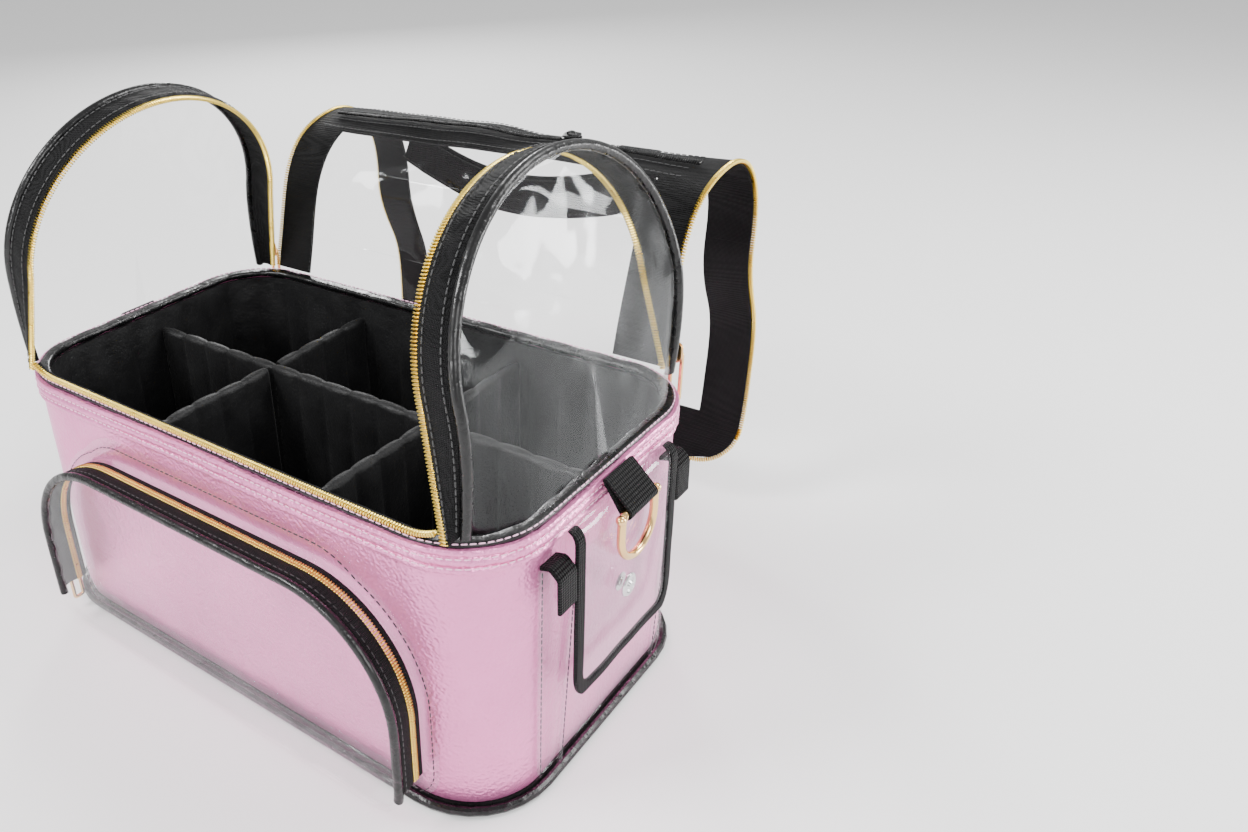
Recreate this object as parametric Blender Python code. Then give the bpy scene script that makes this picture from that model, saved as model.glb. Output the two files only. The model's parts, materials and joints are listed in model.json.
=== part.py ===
"""A soft makeup train case: a pink case with a clear zip-up dome, dividers and clear pockets.

World frame: X to the right seen from the front, Y to the back, Z up, metres.
The origin is the middle of the flat underside. The case is modelled with its dome cover open.
"""

import math

import bmesh
import bpy
from mathutils import Vector

# ---------------------------------------------------------------- driving dimensions
CASE_WIDTH = 0.330
CASE_DEPTH = 0.190
CASE_HEIGHT = 0.150
CORNER_RADIUS = 0.042
GAP = 0.0003

BOTTOM_THICKNESS = 0.004
BOTTOM_INSET = 0.0005
SHELL_THICKNESS = 0.003
BOTTOM_PIPING_RADIUS = 0.0022
WELT_HEIGHT = 0.012
WELT_THICKNESS = 0.002
LINER_THICKNESS = 0.003
LINER_GAP = 0.0005
LINER_FLOOR_TOP = 0.0085
LINER_TOP = 0.1475
LIP_BOTTOM = 0.1490
LIP_TOP = 0.1520
LIP_WIDTH = 0.007
LIP_INSET = 0.0004

DIVIDER_THICKNESS = 0.007
DIVIDER_TOP = 0.138
DIVIDER_FOOT = 0.0095
LONG_DIVIDER_Y = 0.008
CROSS_DIVIDER_X = (-0.060, 0.056)
DIVIDER_END_GAP = 0.0010

ARCH_BASE_Z = 0.1530
ARCH_BASE_HALF_DEPTH = 0.0930
PANEL_BASE_HALF_DEPTH = 0.0865
PANEL_CORNER_BOW = 0.0135
PANEL_CORNER_INSET = 0.0025
PANEL_CROWN_HALF_DEPTH = 0.004
PANEL_ROWS = 12
PANEL_COLUMNS = 10
LEG_STEPS = 5
ARCH_WAIST_HALF_DEPTH = 0.0870
ARCH_LEG_HEIGHT = 0.060
ARCH_CROWN_HEIGHT = 0.077
ARCH_LEAN = math.radians(13.0)
END_PANEL_X = 0.1625
END_PANEL_THICKNESS = 0.0010
ARCH_PIPING_RADIUS = 0.0022
ARCH_PIPING_FOOT_Z = 0.0024
ARCH_TAPE_WIDTH = 0.0150
TAPE_THICKNESS = 0.0012
TEETH_WIDTH = 0.0026
TEETH_THICKNESS = 0.0024

COVER_HALF_WIDTH = 0.1415
COVER_THICKNESS = 0.0012
COVER_STRIPS = 8
COVER_STRIP_END_GAP = 0.0006
COVER_CORNER_RADIUS = 0.022
COVER_FRONT_SHORTEN = 0.0042
# Directions of the open cover's strips in the Y-Z plane, from +Y towards +Z, in degrees.
# The first strip rises from its seam at the back rim, and the others curl over and hang down.
OPEN_DIRECTIONS = (76.0, 60.0, 8.0, -52.0, -93.0, -64.0, -92.0, -112.0)
COVER_SEAM_OUT = 0.0018
LID_BAND_STRIP = 3
HANDLE_STRIP = 4
LID_BAND_WIDTH = 0.034
LID_BAND_THICKNESS = 0.0010
LID_BAND_END_MARGIN = 0.003
LID_SLIDER_X = 0.050
FRONT_BAND_WIDTH = 0.030
FRONT_BAND_THICKNESS = 0.0010

HANDLE_HALF_LENGTH = 0.090
HANDLE_WIDTH = 0.026
HANDLE_SAG = 0.022
HANDLE_THICKNESS = 0.0022
HANDLE_OFFSET = 0.0050
HANDLE_ALONG = 0.010
HANDLE_STEPS = 16

FRONT_TEETH_Y = 0.0930
FRONT_ZIP_HALF_LENGTH = 0.128
FRONT_TEETH_CLEARANCE = 0.0008
FRONT_TAPE_WIDTH = 0.0034

SLIDER_LENGTH = 0.011
SLIDER_WIDTH = 0.0085
SLIDER_THICKNESS = 0.0030
SLIDER_CORNER = 0.0025
PULL_LENGTH = 0.030
PULL_WIDTH = 0.0080
PULL_THICKNESS = 0.0016
PULL_ABOVE_PIVOT = 0.0005
PULL_SIDE_BAR = 0.0022
PULL_END_BAR = 0.0030
PULL_CORNER = 0.0012
PULL_HOLE_CORNER = 0.0008
BACK_SLIDER_X = 0.1467
BACK_SLIDER_Z = 0.1630

POCKET_HALF_WIDTH = 0.1285
POCKET_BOTTOM = 0.0080
POCKET_TOP = 0.1180
POCKET_TOP_RADIUS = 0.058
POCKET_BOTTOM_RADIUS = 0.016
POCKET_FLANGE_MARGIN = 0.0075
POCKET_FLANGE_TOP_MARGIN = 0.0150
POCKET_FLANGE_INSIDE = 0.0040
POCKET_FLANGE_LOW = 0.0065
POCKET_FLANGE_THICKNESS = 0.0006
POCKET_FLOOR_END = 0.0040
POCKET_BACK_Y = 0.0957
POCKET_GUSSET_BACK = 0.0966
POCKET_GUSSET_FRONT = 0.1020
POCKET_TEETH_FRONT = 0.1050
POCKET_TAPE_FRONT = 0.1130
POCKET_PIPING_Y = 0.1153
POCKET_PIPING_RADIUS = 0.0020
POCKET_PANEL_BACK = 0.1150
POCKET_PANEL_FRONT = 0.1162
POCKET_SLIDER_Z = 0.036

SIDE_POCKET_HALF_LENGTH = 0.060
SIDE_POCKET_BOTTOM = 0.0080
SIDE_POCKET_TOP = 0.1300
SIDE_POCKET_MOUTH_DEPTH = 0.0085
SIDE_POCKET_FOOT_DEPTH = 0.0034
SIDE_POCKET_WALL = 0.0011
SIDE_POCKET_GAP = 0.0005
SIDE_POCKET_CUT_ABOVE = 0.0100
SIDE_FLAP_HALF_LENGTH = 0.044
SIDE_FLAP_HINGE = (0.0032, 0.1440)
SIDE_FLAP_SHOULDER = (0.0097, 0.1358)
SIDE_FLAP_HEM = (0.0106, 0.0520)
SIDE_FLAP_THICKNESS = 0.0011
FLAP_BINDING_WIDTH = 0.0070
FLAP_BINDING_THICKNESS = 0.0014
FLAP_BINDING_BELOW_SHOULDER = 0.0020
SNAP_Z = 0.090
SNAP_RADIUS = 0.0060
SNAP_THICKNESS = 0.0018
STUD_RADIUS = 0.0048
STUD_THICKNESS = 0.0005

STRAP_HINGE = (0.0038, 0.1500)
RING_PIN = (0.0145, 0.1372)
STRAP_WIDTH = 0.025
STRAP_RADIUS = 0.0013
STRAP_EYE_RADIUS = 0.0031
STRAP_EYE_HALF_ANGLE = 105
RING_HOLE_RADIUS = 0.0020
RING_WIRE_RADIUS = 0.0016
RING_HALF_WIDTH = 0.0150
RING_DROP = 0.0270
RING_BEND = 0.0035

CORNER_STEPS = 8
SMALL_CORNER_STEPS = 4
ARCH_STEPS = 28
TUBE_RESOLUTION = 2

# ---------------------------------------------------------------- materials
COLOURS = {
    "pink_leather": ((0.86, 0.47, 0.66, 1.0), 0.38, 0.35),
    "black_nylon": ((0.020, 0.020, 0.022, 1.0), 0.75, 0.0),
    "black_liner": ((0.012, 0.012, 0.013, 1.0), 0.70, 0.0),
    "black_piping": ((0.012, 0.012, 0.013, 1.0), 0.30, 0.0),
    "clear_vinyl": ((0.92, 0.95, 0.96, 0.30), 0.08, 0.0),
    "gold_teeth": ((0.80, 0.66, 0.25, 1.0), 0.35, 0.9),
    "gold_metal": ((0.83, 0.58, 0.27, 1.0), 0.22, 1.0),
    "silver_metal": ((0.72, 0.72, 0.72, 1.0), 0.25, 1.0),
}


def make_material(name):
    colour, roughness, metallic = COLOURS[name]
    material = bpy.data.materials.new(name)
    material.use_nodes = True
    shader = material.node_tree.nodes["Principled BSDF"]
    shader.inputs["Base Color"].default_value = colour
    shader.inputs["Roughness"].default_value = roughness
    shader.inputs["Metallic"].default_value = metallic
    shader.inputs["Alpha"].default_value = colour[3]
    return material


# ---------------------------------------------------------------- outlines
def arc(centre, radius, start_deg, end_deg, steps):
    """Points on an arc, both ends included."""
    points = []
    for i in range(steps + 1):
        angle = math.radians(start_deg + (end_deg - start_deg) * i / steps)
        points.append((centre[0] + radius * math.cos(angle), centre[1] + radius * math.sin(angle)))
    return points


def rounded_rect(half_x, half_y, radius):
    """Counter-clockwise rounded rectangle about the origin."""
    points = []
    corners = ((1, 1, 0), (-1, 1, 90), (-1, -1, 180), (1, -1, 270))
    for sign_x, sign_y, start in corners:
        centre = (sign_x * (half_x - radius), sign_y * (half_y - radius))
        points += arc(centre, radius, start, start + 90, CORNER_STEPS)
    return points


def case_outline(offset):
    """The case's plan outline, moved out by offset."""
    return rounded_rect(CASE_WIDTH / 2 + offset, CASE_DEPTH / 2 + offset, CORNER_RADIUS + offset)


def pocket_outline(offset):
    """The front pocket's face outline in X and Z, moved out by offset, closed."""
    half = POCKET_HALF_WIDTH + offset
    low = POCKET_BOTTOM - offset
    high = POCKET_TOP + offset
    big = POCKET_TOP_RADIUS + offset
    small = POCKET_BOTTOM_RADIUS + offset
    points = arc((half - small, low + small), small, -90, 0, SMALL_CORNER_STEPS)
    points += arc((half - big, high - big), big, 0, 90, CORNER_STEPS)
    points += arc((-half + big, high - big), big, 90, 180, CORNER_STEPS)
    points += arc((-half + small, low + small), small, 180, 270, SMALL_CORNER_STEPS)
    return points


def pocket_zip_line():
    """The open line of the front pocket's zip, up one side, over the top and down the other."""
    return pocket_outline(0.0)[SMALL_CORNER_STEPS:-SMALL_CORNER_STEPS]


def arch_path():
    """The dome's outline in Y and Z, from the back rim over the top to the front rim."""
    crown_z = ARCH_BASE_Z + ARCH_LEG_HEIGHT
    points = [(ARCH_BASE_HALF_DEPTH, ARCH_BASE_Z)]
    for i in range(ARCH_STEPS + 1):
        angle = math.pi * i / ARCH_STEPS
        y = ARCH_WAIST_HALF_DEPTH * math.cos(angle)
        z = crown_z + ARCH_CROWN_HEIGHT * math.sin(angle)
        points.append((y, z))
    points.append((-ARCH_BASE_HALF_DEPTH, ARCH_BASE_Z))
    return points


def point_along(points, distance):
    """The point at a distance along a polyline."""
    for a, b in zip(points, points[1:]):
        step = math.dist(a, b)
        if distance <= step:
            t = distance / step
            return (a[0] + (b[0] - a[0]) * t, a[1] + (b[1] - a[1]) * t)
        distance -= step
    return points[-1]


def closed_cover_joints():
    """The ends of the cover's strips when the cover is zipped shut."""
    path = arch_path()
    path[0] = (path[0][0] + COVER_SEAM_OUT, path[0][1])
    total = sum(math.dist(a, b) for a, b in zip(path, path[1:]))
    return [point_along(path, total * i / COVER_STRIPS) for i in range(COVER_STRIPS + 1)]


def direction(a, b):
    """Angle of the line from a to b, from +Y towards +Z, in degrees from 0 to 360."""
    return math.degrees(math.atan2(b[1] - a[1], b[0] - a[0])) % 360.0


def cover_layout():
    """For each strip: its length, its direction when open and its direction when closed."""
    ends = closed_cover_joints()
    rows = []
    for i in range(COVER_STRIPS):
        closed = direction(ends[i], ends[i + 1])
        rows.append((math.dist(ends[i], ends[i + 1]), OPEN_DIRECTIONS[i], closed))
    return rows


def cover_swings():
    """How far each strip's hinge turns from open to closed, in degrees about +X."""
    rows = cover_layout()
    swings = [rows[0][2] - rows[0][1]]
    for before, this in zip(rows, rows[1:]):
        swings.append((this[2] - before[2]) - (this[1] - before[1]))
    return swings


def ribbon(points, thickness, closed=False):
    """Outline of a band of the given thickness about a polyline."""
    count = len(points)
    outer = []
    inner = []
    for i, (u, v) in enumerate(points):
        if closed:
            a = points[i - 1]
            b = points[(i + 1) % count]
        else:
            a = points[max(i - 1, 0)]
            b = points[min(i + 1, count - 1)]
        length = math.dist(a, b)
        normal = ((b[1] - a[1]) / length, -(b[0] - a[0]) / length)
        outer.append((u + normal[0] * thickness / 2, v + normal[1] * thickness / 2))
        inner.append((u - normal[0] * thickness / 2, v - normal[1] * thickness / 2))
    if closed:
        return outer, inner
    return outer + inner[::-1]


# ---------------------------------------------------------------- mesh helpers
def place(u, v, w, axis):
    """A point of an outline at height w along the axis it is extruded on."""
    if axis == "X":
        return Vector((w, u, v))
    if axis == "Y":
        return Vector((u, w, v))
    return Vector((u, v, w))


def finish(name, bm, material, parent):
    """Turns a bmesh into a named object under its parent."""
    bmesh.ops.recalc_face_normals(bm, faces=bm.faces)
    mesh = bpy.data.meshes.new(name)
    bm.to_mesh(mesh)
    bm.free()
    mesh.materials.append(MATERIALS[material])
    mesh.shade_smooth()
    mesh.set_sharp_from_angle(angle=math.radians(35))
    return link(name, mesh, parent)


def link(name, data, parent):
    thing = bpy.data.objects.new(name, data)
    bpy.context.scene.collection.objects.link(thing)
    thing.parent = parent
    return thing


def joint_empty(name, location, parent=None, rotation=(0.0, 0.0, 0.0)):
    """An empty on a joint's axis, which its moving pieces hang from."""
    empty = bpy.data.objects.new(name, None)
    bpy.context.scene.collection.objects.link(empty)
    empty.parent = parent
    empty.location = location
    empty.rotation_euler = rotation
    return empty


def prism(name, outline, axis, low, high, material, parent=None, hole=None):
    """Extrudes an outline, with an optional hole, along an axis from low to high."""
    bm = bmesh.new()
    loops = []
    for points in (outline, hole):
        if points is None:
            continue
        verts = [bm.verts.new(place(u, v, low, axis)) for u, v in points]
        edges = [bm.edges.new((a, b)) for a, b in zip(verts, verts[1:] + verts[:1])]
        loops.append((verts, edges))
    if hole is None:
        bm.faces.new(loops[0][0])
    else:
        bmesh.ops.bridge_loops(bm, edges=loops[0][1] + loops[1][1])
    extruded = bmesh.ops.extrude_face_region(bm, geom=list(bm.faces))
    moved = [g for g in extruded["geom"] if isinstance(g, bmesh.types.BMVert)]
    bmesh.ops.translate(bm, verts=moved, vec=place(0, 0, high - low, axis))
    return finish(name, bm, material, parent)


def band(name, line, thickness, axis, low, high, material, parent=None):
    """A flat band along an open line, extruded along an axis."""
    return prism(name, ribbon(line, thickness), axis, low, high, material, parent)


def tube(name, points, radius, cyclic, material, parent=None):
    """A round cord along points."""
    curve = bpy.data.curves.new(name, "CURVE")
    curve.dimensions = "3D"
    curve.bevel_depth = radius
    curve.bevel_resolution = TUBE_RESOLUTION
    curve.use_fill_caps = True
    spline = curve.splines.new("POLY")
    spline.points.add(len(points) - 1)
    for target, point in zip(spline.points, points):
        target.co = (*point, 1.0)
    spline.use_cyclic_u = cyclic
    curve.materials.append(MATERIALS[material])
    return link(name, curve, parent)


def skin(name, sections, material, parent=None):
    """Joins a row of closed cross-sections into one solid, capped at both ends."""
    bm = bmesh.new()
    rows = [[bm.verts.new(point) for point in section] for section in sections]
    count = len(rows[0])
    for row, after in zip(rows, rows[1:]):
        for i in range(count):
            j = (i + 1) % count
            bm.faces.new((row[i], row[j], after[j], after[i]))
    bm.faces.new(rows[0])
    bm.faces.new(rows[-1])
    return finish(name, bm, material, parent)


def disc(name, axis, centre, radius, low, high, material, parent=None):
    """A round plate about a centre, from low to high along an axis."""
    outline = arc(centre, radius, 0, 360, 16)[:-1]
    return prism(name, outline, axis, low, high, material, parent)


def side_name(stem, sign):
    return stem + ("_right" if sign > 0 else "_left")


def spread(low, high):
    """Orders two numbers, so that mirrored pieces extrude the right way."""
    return min(low, high), max(low, high)


# ---------------------------------------------------------------- the case
def make_case():
    floor = case_outline(-BOTTOM_INSET)
    prism("bottom_panel", floor, "Z", 0.0, BOTTOM_THICKNESS, "black_nylon")
    piping_line = case_outline(BOTTOM_PIPING_RADIUS + 2 * GAP)
    piping = [(x, y, BOTTOM_PIPING_RADIUS + 2 * GAP) for x, y in piping_line]
    tube("bottom_piping", piping, BOTTOM_PIPING_RADIUS, True, "black_piping")
    prism(
        "base_shell", case_outline(0.0), "Z", BOTTOM_THICKNESS + GAP, LIP_BOTTOM - GAP,
        "pink_leather", hole=case_outline(-SHELL_THICKNESS),
    )
    welt_inside = case_outline(GAP)
    welt_outside = case_outline(GAP + WELT_THICKNESS)
    prism(
        "rim_welt", welt_outside, "Z", CASE_HEIGHT - WELT_HEIGHT, CASE_HEIGHT,
        "pink_leather", hole=welt_inside,
    )


def make_liner():
    """The black tray inside the case, and the padded lip along its rim."""
    outside = case_outline(-SHELL_THICKNESS - LINER_GAP)
    inside = case_outline(-SHELL_THICKNESS - LINER_GAP - LINER_THICKNESS)
    bm = bmesh.new()
    loops = []
    levels = (
        (inside, LINER_FLOOR_TOP),
        (inside, LINER_TOP),
        (outside, LINER_TOP),
        (outside, BOTTOM_THICKNESS + GAP),
    )
    for outline, z in levels:
        loops.append([bm.verts.new((x, y, z)) for x, y in outline])
    bm.faces.new(loops[0])
    bm.faces.new(loops[-1])
    for lower, upper in zip(loops, loops[1:]):
        for i in range(len(lower)):
            j = (i + 1) % len(lower)
            bm.faces.new((lower[i], lower[j], upper[j], upper[i]))
    finish("liner_tray", bm, "black_liner", None)
    lip_outside = case_outline(-LIP_INSET)
    lip_inside = case_outline(-LIP_INSET - LIP_WIDTH)
    prism("liner_lip", lip_outside, "Z", LIP_BOTTOM, LIP_TOP, "black_liner", hole=lip_inside)


def make_dividers():
    """One long divider and two rows of cross dividers, each free to lift out."""
    wall = SHELL_THICKNESS + LINER_GAP + LINER_THICKNESS + DIVIDER_END_GAP
    half_x = CASE_WIDTH / 2 - wall
    half_y = CASE_DEPTH / 2 - wall
    half_thick = DIVIDER_THICKNESS / 2
    long_outline = (
        (-half_x, LONG_DIVIDER_Y - half_thick),
        (half_x, LONG_DIVIDER_Y - half_thick),
        (half_x, LONG_DIVIDER_Y + half_thick),
        (-half_x, LONG_DIVIDER_Y + half_thick),
    )
    rail = joint_empty("long_divider_axis", (0.0, 0.0, 0.0))
    prism("long_divider", long_outline, "Z", DIVIDER_FOOT, DIVIDER_TOP, "black_liner", rail)
    near = LONG_DIVIDER_Y - half_thick - DIVIDER_END_GAP
    far = LONG_DIVIDER_Y + half_thick + DIVIDER_END_GAP
    for x, column in zip(CROSS_DIVIDER_X, ("left", "right")):
        for row, low, high in (("front", -half_y, near), ("back", far, half_y)):
            name = f"cross_divider_{row}_{column}"
            rail = joint_empty(name + "_axis", (x, 0.0, 0.0))
            outline = ((-half_thick, low), (half_thick, low), (half_thick, high), (-half_thick, high))
            prism(name, outline, "Z", DIVIDER_FOOT, DIVIDER_TOP, "black_liner", rail)


# ---------------------------------------------------------------- the clear dome
def corner_bow(y, height):
    """How far an end panel's foot stands in from its plane, where it follows the rim's round corner."""
    corner = CORNER_RADIUS - PANEL_CORNER_INSET
    past = max(abs(y) - (CASE_DEPTH / 2 - CORNER_RADIUS), 0.0)
    full = corner - math.sqrt(corner ** 2 - (PANEL_BASE_HALF_DEPTH - CASE_DEPTH / 2 + CORNER_RADIUS) ** 2)
    here = corner - math.sqrt(max(corner ** 2 - past ** 2, 0.0))
    fade = max(1.0 - height / ARCH_LEG_HEIGHT, 0.0) ** 1.5
    return PANEL_CORNER_BOW * min(here / full, 1.0) * fade


def panel_half_depth(height):
    """Half the end panel's depth at a height above the rim."""
    if height <= ARCH_LEG_HEIGHT:
        t = height / ARCH_LEG_HEIGHT
        return PANEL_BASE_HALF_DEPTH + (ARCH_WAIST_HALF_DEPTH - PANEL_BASE_HALF_DEPTH) * t
    rise = min((height - ARCH_LEG_HEIGHT) / ARCH_CROWN_HEIGHT, 1.0)
    return ARCH_WAIST_HALF_DEPTH * math.sqrt(1.0 - rise ** 2)


def zip_half_depth(height):
    """Half the depth between the dome zip's two legs at a height above the rim."""
    t = min(height / ARCH_LEG_HEIGHT, 1.0)
    return ARCH_BASE_HALF_DEPTH + (ARCH_WAIST_HALF_DEPTH - ARCH_BASE_HALF_DEPTH) * t


def make_end_sheet(sign, hinge):
    """The clear sheet of an end panel: level rows from the rim to the crown, bowed at its foot."""
    inset = ARCH_PIPING_RADIUS + GAP
    sections = []
    for row in range(PANEL_ROWS + 1):
        t = row / PANEL_ROWS
        top = ARCH_LEG_HEIGHT + ARCH_CROWN_HEIGHT - inset
        height = GAP + (top - GAP) * math.sin(t * math.pi / 2)
        half = max(panel_half_depth(height + inset * t) - inset, PANEL_CROWN_HALF_DEPTH)
        front = []
        back = []
        for column in range(PANEL_COLUMNS + 1):
            y = half * (2 * column / PANEL_COLUMNS - 1)
            x = -sign * corner_bow(y, height)
            z = height + abs(x) * math.tan(ARCH_LEAN)
            front.append((x + END_PANEL_THICKNESS / 2, y, z))
            back.append((x - END_PANEL_THICKNESS / 2, y, z))
        sections.append(front + back[::-1])
    skin(side_name("end_panel", sign), sections, "clear_vinyl", hinge)


def make_end_panel(sign):
    """A clear D-shaped end wall with its piping, zip tape and teeth, leaning in on its rim hinge."""
    hinge = joint_empty(
        side_name("end_panel_hinge", sign),
        (sign * END_PANEL_X, 0.0, ARCH_BASE_Z),
        rotation=(0.0, -sign * ARCH_LEAN, 0.0),
    )
    make_end_sheet(sign, hinge)
    slope = math.tan(ARCH_LEAN)
    tape_start = ARCH_PIPING_RADIUS + GAP
    tape_end = tape_start + ARCH_TAPE_WIDTH
    teeth_end = tape_end + GAP + TEETH_WIDTH
    foot_z = teeth_end * math.sin(ARCH_LEAN) + GAP + FRONT_TEETH_CLEARANCE
    legs = [foot_z + (ARCH_LEG_HEIGHT - foot_z) * i / LEG_STEPS for i in range(LEG_STEPS)]
    crown = [(y, z - ARCH_BASE_Z) for y, z in arch_path()[1:-1]]
    outer_leg = [(panel_half_depth(z), z) for z in legs]
    inner_leg = [(zip_half_depth(z), z) for z in legs]
    outer_line = outer_leg + crown + [(-y, z) for y, z in outer_leg[::-1]]
    inner_line = inner_leg + crown + [(-y, z) for y, z in inner_leg[::-1]]
    foot = (PANEL_BASE_HALF_DEPTH, ARCH_PIPING_FOOT_Z)
    edge = [foot] + outer_line + [(-foot[0], foot[1])]
    piping = [(-sign * corner_bow(y, z), y, z + corner_bow(y, z) * slope) for y, z in edge]
    tube(side_name("arch_piping", sign), piping, ARCH_PIPING_RADIUS, False, "black_piping", hinge)
    low, high = spread(-sign * (tape_end + GAP), -sign * teeth_end)
    band(side_name("arch_teeth", sign), inner_line, TEETH_THICKNESS, "X", low, high, "gold_teeth", hinge)
    outer_ribbon = ribbon(outer_line, TAPE_THICKNESS)
    inner_ribbon = ribbon(inner_line, TAPE_THICKNESS)
    sections = []
    for i, (y, z) in enumerate(outer_line):
        bow = corner_bow(y, z)
        x = -sign * (tape_start + bow)
        corners = [(x, u, v + bow * slope) for u, v in (outer_ribbon[i], outer_ribbon[-1 - i])]
        x = -sign * tape_end
        corners += [(x, u, v) for u, v in (inner_ribbon[-1 - i], inner_ribbon[i])]
        sections.append(corners)
    skin(side_name("arch_tape", sign), sections, "black_nylon", hinge)


def strip_outline(length, rounded):
    """A cover strip seen flat: X and distance along the cover."""
    low = COVER_STRIP_END_GAP
    high = length - COVER_STRIP_END_GAP
    half = COVER_HALF_WIDTH
    if not rounded:
        return [(-half, low), (half, low), (half, high), (-half, high)]
    high = length - COVER_FRONT_SHORTEN
    radius = COVER_CORNER_RADIUS
    points = [(-half, low), (half, low)]
    points += arc((half - radius, high - radius), radius, 0, 90, CORNER_STEPS)
    points += arc((-half + radius, high - radius), radius, 90, 180, CORNER_STEPS)
    return points


def make_cover():
    """The clear cover, as a chain of strips from the back rim to its free edge."""
    rows = cover_layout()
    start = closed_cover_joints()[0]
    parent = None
    location = Vector((0.0, start[0], start[1] + GAP))
    before = 90.0
    half_thick = COVER_THICKNESS / 2
    for i, (length, open_direction, _) in enumerate(rows, start=1):
        turn = math.radians(open_direction - before)
        hinge = joint_empty(f"cover_fold_{i}", location, parent, (turn, 0.0, 0.0))
        rounded = i == COVER_STRIPS
        outline = strip_outline(length, rounded)
        prism(f"cover_panel_{i}", outline, "Y", -half_thick, half_thick, "clear_vinyl", hinge)
        if i == LID_BAND_STRIP:
            make_lid_zip(hinge, length)
        if i == HANDLE_STRIP:
            make_handle(hinge, open_direction)
        if rounded:
            make_front_band(hinge, length)
        parent = hinge
        location = Vector((0.0, 0.0, length))
        before = open_direction


def make_front_band(hinge, length):
    """The wide black tape along the cover's free edge, on its inner face."""
    outer = strip_outline(length, True)
    low = length - COVER_FRONT_SHORTEN - FRONT_BAND_WIDTH
    outline = [(u, max(v, low)) for u, v in outer]
    back = COVER_THICKNESS / 2 + GAP
    prism(
        "cover_front_band", outline, "Y", -back - FRONT_BAND_THICKNESS, -back,
        "black_nylon", hinge,
    )


def make_lid_zip(hinge, length):
    """The black tape, coil zip and slider of the flat pocket in the lid, on the inner face."""
    middle = length / 2
    low = middle - LID_BAND_WIDTH / 2
    high = middle + LID_BAND_WIDTH / 2
    half = COVER_HALF_WIDTH - LID_BAND_END_MARGIN
    face = -COVER_THICKNESS / 2 - GAP
    tape_face = face - LID_BAND_THICKNESS
    outline = ((-half, low), (half, low), (half, high), (-half, high))
    prism("lid_zip_tape", outline, "Y", tape_face, face, "black_nylon", hinge)
    rail = joint_empty("lid_slider_axis", (LID_SLIDER_X, 0.0, middle), hinge)
    slider = rounded_rect(SLIDER_LENGTH / 2, SLIDER_WIDTH / 2, SLIDER_CORNER)
    top = tape_face - GAP
    prism("lid_zip_slider", slider, "Y", top - SLIDER_THICKNESS, top, "black_piping", rail)


def make_handle(hinge, open_direction):
    """The webbing carry handle, hanging from its sewn line under the cover's outer face."""
    axis_place = (0.0, HANDLE_OFFSET, HANDLE_ALONG)
    hang = math.radians(-90.0 - open_direction)
    pivot = joint_empty("handle_pivot", axis_place, hinge, (hang, 0.0, 0.0))
    line = []
    for i in range(HANDLE_STEPS + 1):
        t = i / HANDLE_STEPS
        x = -HANDLE_HALF_LENGTH + 2 * HANDLE_HALF_LENGTH * t
        line.append((x, HANDLE_WIDTH / 2 + HANDLE_SAG * math.sin(math.pi * t)))
    half_thick = HANDLE_THICKNESS / 2
    band("carry_handle", line, HANDLE_WIDTH, "Y", -half_thick, half_thick, "black_nylon", pivot)


def make_front_rim_zip():
    """The fixed half of the dome zip along the front rim."""
    half = FRONT_ZIP_HALF_LENGTH
    tape_low = -FRONT_TEETH_Y + TEETH_THICKNESS / 2 + GAP
    tape_high = tape_low + FRONT_TAPE_WIDTH
    tape = ((-half, tape_low), (half, tape_low), (half, tape_high), (-half, tape_high))
    prism("front_zip_tape", tape, "Z", LIP_TOP + GAP, LIP_TOP + GAP + TAPE_THICKNESS, "black_nylon")
    low = -FRONT_TEETH_Y - TEETH_THICKNESS / 2
    high = -FRONT_TEETH_Y + TEETH_THICKNESS / 2
    teeth = ((-half, low), (half, low), (half, high), (-half, high))
    prism("front_zip_teeth", teeth, "Z", LIP_TOP + GAP, LIP_TOP + GAP + TEETH_WIDTH, "gold_teeth")


def make_slider(name, location, outward):
    """A zip slider with its pull tab on a pivot at its outer face.

    The slider is built about its own origin. outward is the unit direction away from the zip.
    """
    out = Vector(outward)
    axis = "Y" if abs(out.y) > abs(out.x) else "X"
    sign = out.y if axis == "Y" else out.x
    rail = joint_empty(name + "_axis", location)
    outline = rounded_rect(SLIDER_WIDTH / 2, SLIDER_LENGTH / 2, SLIDER_CORNER)
    low, high = spread(0.0, sign * SLIDER_THICKNESS)
    prism(name + "_slider", outline, axis, low, high, "gold_metal", rail)
    reach = sign * (SLIDER_THICKNESS + GAP + PULL_THICKNESS / 2)
    pivot_at = (0.0, reach, 0.0) if axis == "Y" else (reach, 0.0, 0.0)
    pivot = joint_empty(name + "_pull_axis", pivot_at, rail)
    half_width = PULL_WIDTH / 2
    half_length = PULL_LENGTH / 2
    middle = PULL_ABOVE_PIVOT - half_length
    edge = rounded_rect(half_width, half_length, PULL_CORNER)
    window = rounded_rect(half_width - PULL_SIDE_BAR, half_length - PULL_END_BAR, PULL_HOLE_CORNER)
    outer = [(u, v + middle) for u, v in edge]
    hole = [(u, v + middle) for u, v in window]
    low, high = -PULL_THICKNESS / 2, PULL_THICKNESS / 2
    prism(name + "_pull", outer, axis, low, high, "gold_metal", pivot, hole=hole)


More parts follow.
